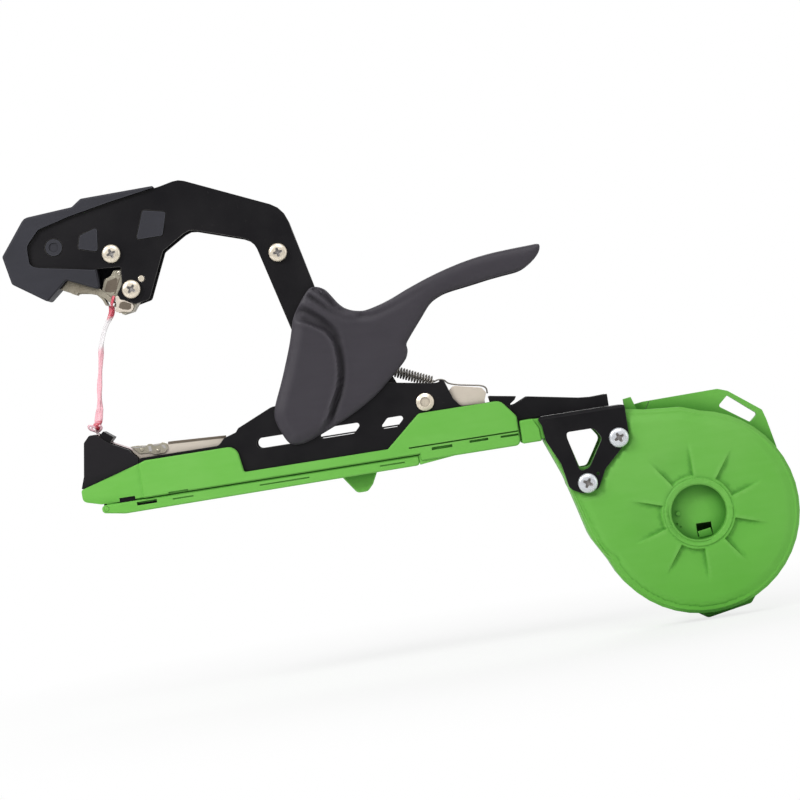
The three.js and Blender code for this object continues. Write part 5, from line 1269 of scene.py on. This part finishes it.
def makeMagazine():
    way = magazine
    studs = [turnedRound((x, z), [(max(0.01, r * share), y) for share, y in way["studProfile"]], way["studSides"])
             for x, z, r in way["studs"]]
    fitted(
        ("shellLips", mirrored(boxMesh(*way["flange"])), "frame", "greenMoulded", 0.1),
        ("holeBack", mirrored(boxMesh(*way["holePlate"])), "frame", "blackedSteel", 0.1),
        ("doorBack", mirrored(boxMesh(*way["doorPlate"])), "door", "nylonNose", 0.1),
        ("pinCaps", mirrored(spunSolid(way["pinAt"], way["pinCap"], way["pinSides"])), "door", "greenMoulded", 0.08),
        ("shellStep", slabMesh(way["step"], -way["stepHalf"], way["stepHalf"]), "frame", "greenMoulded", 0.3),
        ("blockLug", slabMesh(way["blockFill"], -way["blockHalf"], way["blockHalf"]), "frame", "greenMoulded", 0.3),
        ("guideShim", boxMesh(*way["shim"]), "frame", "blackedSteel", 0.1),
        ("linerFoot", boxMesh(*way["linerFoot"]), "frame", "railSteel", 0.1),
        ("tapeShoe", merged(slabMesh(way["shoe"], *way["shoeY"]), *studs), "frame", "jawSteel", 0.15),
        ("shoeGaps", merged(*(slabMesh(gap, *way["gapY"]) for gap in way["gaps"])), "frame", "recessSteel", 0.04),
        ("deckEdge", slabMesh(way["edge"], *way["edgeY"]), "frame", "stainedSteel", 0.1),
    )


makeShells()
makeDoor()
makePressed()
makeMagazine()
print("shells carved")

# Jaw: a dark cheek behind the catch, the guard's folded lip, the faces of the catch and the clincher, and a dark sheet
# of painted shade on the clincher's upper part
jaw = {
    "cheek": [
        (-153.5, 77.5), (-153.5, 91), (-131, 91), (-131, 80), (-136.5, 76.5), (-139.6, 73.2), (-143.4, 74.6),
        (-147.5, 77),
    ],
    "cheekY": (6.9, 8.6),
    "guard": [
        (-163.6, 80.4), (-161.6, 81.8), (-160.2, 83.6), (-159, 84.6), (-156, 83.0), (-154.4, 82.0), (-149.5, 80.2),
        (-145, 77.7), (-143.2, 75.6), (-140.4, 72.8), (-139.8, 70.4), (-141.6, 70.6), (-143.4, 72.8), (-146.5, 75.1),
        (-151, 76.6), (-155.2, 77.3), (-156.4, 77.3), (-157, 76.7), (-158.4, 77.3), (-160, 78.7),
    ],
    "guardY": (-7.1, -6.5),
    "catch": [
        (-144.8, 76.2), (-143.7, 78.2), (-142.7, 80.9), (-141.4, 82.3), (-139.8, 82.5), (-138.2, 82.2), (-137.5, 82.7),
        (-137.3, 84.2), (-136.6, 85.1), (-133.2, 85.1), (-132.2, 84.2), (-132.4, 83.1), (-133.8, 79.6), (-136.2, 75),
        (-137.6, 73.2), (-139.4, 73.3), (-142.2, 74.3), (-143.8, 75.2),
    ],
    "catchY": (-6.56, -6.3),
    "pocket": [
        (-143.0, 76.4), (-142.1, 79), (-140.9, 81), (-138.6, 81.3), (-136.6, 82), (-136.0, 80.6), (-137.5, 77),
        (-138.6, 75.3), (-140.5, 75.3), (-142.4, 75.8),
    ],
    "line": [(-135.3, 81.6), (-134.8, 81.5), (-138.2, 74.2), (-138.9, 74.3)], "pocketY": (-6.62, -6.45),
    "knob": (-134.7, 83.9), "knobSides": 24,
    "knobRing": [(0.0, -7.15), (0.8, -7.12), (1.1, -6.95), (1.1, -6.4), (0.0, -6.4)],
    "foot": [
        (-138.5, 73.0), (-136.9, 73.2), (-136.2, 71.2), (-134.4, 70.6), (-130.6, 68.4), (-130.3, 67), (-131.1, 65.3),
        (-132.3, 64.6), (-136.2, 65.2), (-139.1, 65.5), (-139.5, 66.7), (-138.5, 68.6),
    ],
    "footY": (-7.85, -7.25),
    "footPocket": [
        (-137.5, 67.5), (-136.4, 69.8), (-134.6, 70.0), (-131.4, 68.3), (-131.8, 66.2), (-133, 65.7), (-135.6, 66.3),
    ],
    "footPocketY": (-7.97, -7.75),
    # a dark sheet of painted shade over the clincher's upper part
    "shade": [
        (-136.6, 72.2), (-137.0, 74.4), (-133.0, 80), (-127, 79), (-125.8, 68.6), (-130.8, 68.4), (-134.2, 70.4),
        (-136.2, 71.0),
    ],
    "shadeY": (-7.5, -7.1),
}


def makeJaw():
    way = jaw
    pocket = merged(slabMesh(way["pocket"], *way["pocketY"]), slabMesh(way["line"], *way["pocketY"]))
    knob = spunSolid(way["knob"], way["knobRing"], way["knobSides"])
    fitted(
        ("catchCheek", slabMesh(way["cheek"], *way["cheekY"]), "arm", "nylonHead", 0.3),
        ("guardFold", mirrored(slabMesh(way["guard"], *way["guardY"])), "arm", "jawSteel", 0.2),
        ("catchFace", mirrored(slabMesh(way["catch"], *way["catchY"])), "catch", "jawSteel", 0.2),
        ("catchPocket", mirrored(pocket), "catch", "stainedSteel", 0.04),
        ("catchKnob", mirrored(knob), "catch", "platedSteel", 0.1),
        ("clincherFoot", mirrored(slabMesh(way["foot"], *way["footY"])), "arm", "beigeSteel", 0.2),
        ("footPocket", mirrored(slabMesh(way["footPocket"], *way["footPocketY"])), "arm", "stainedSteel", 0.04),
        # a dark sheet of painted shade on the clincher
        ("clincherShadeSheet", mirrored(slabMesh(way["shade"], *way["shadeY"])), "arm", "blackedSteel", 0.15),
    )


makeJaw()
print("jaw dressed")
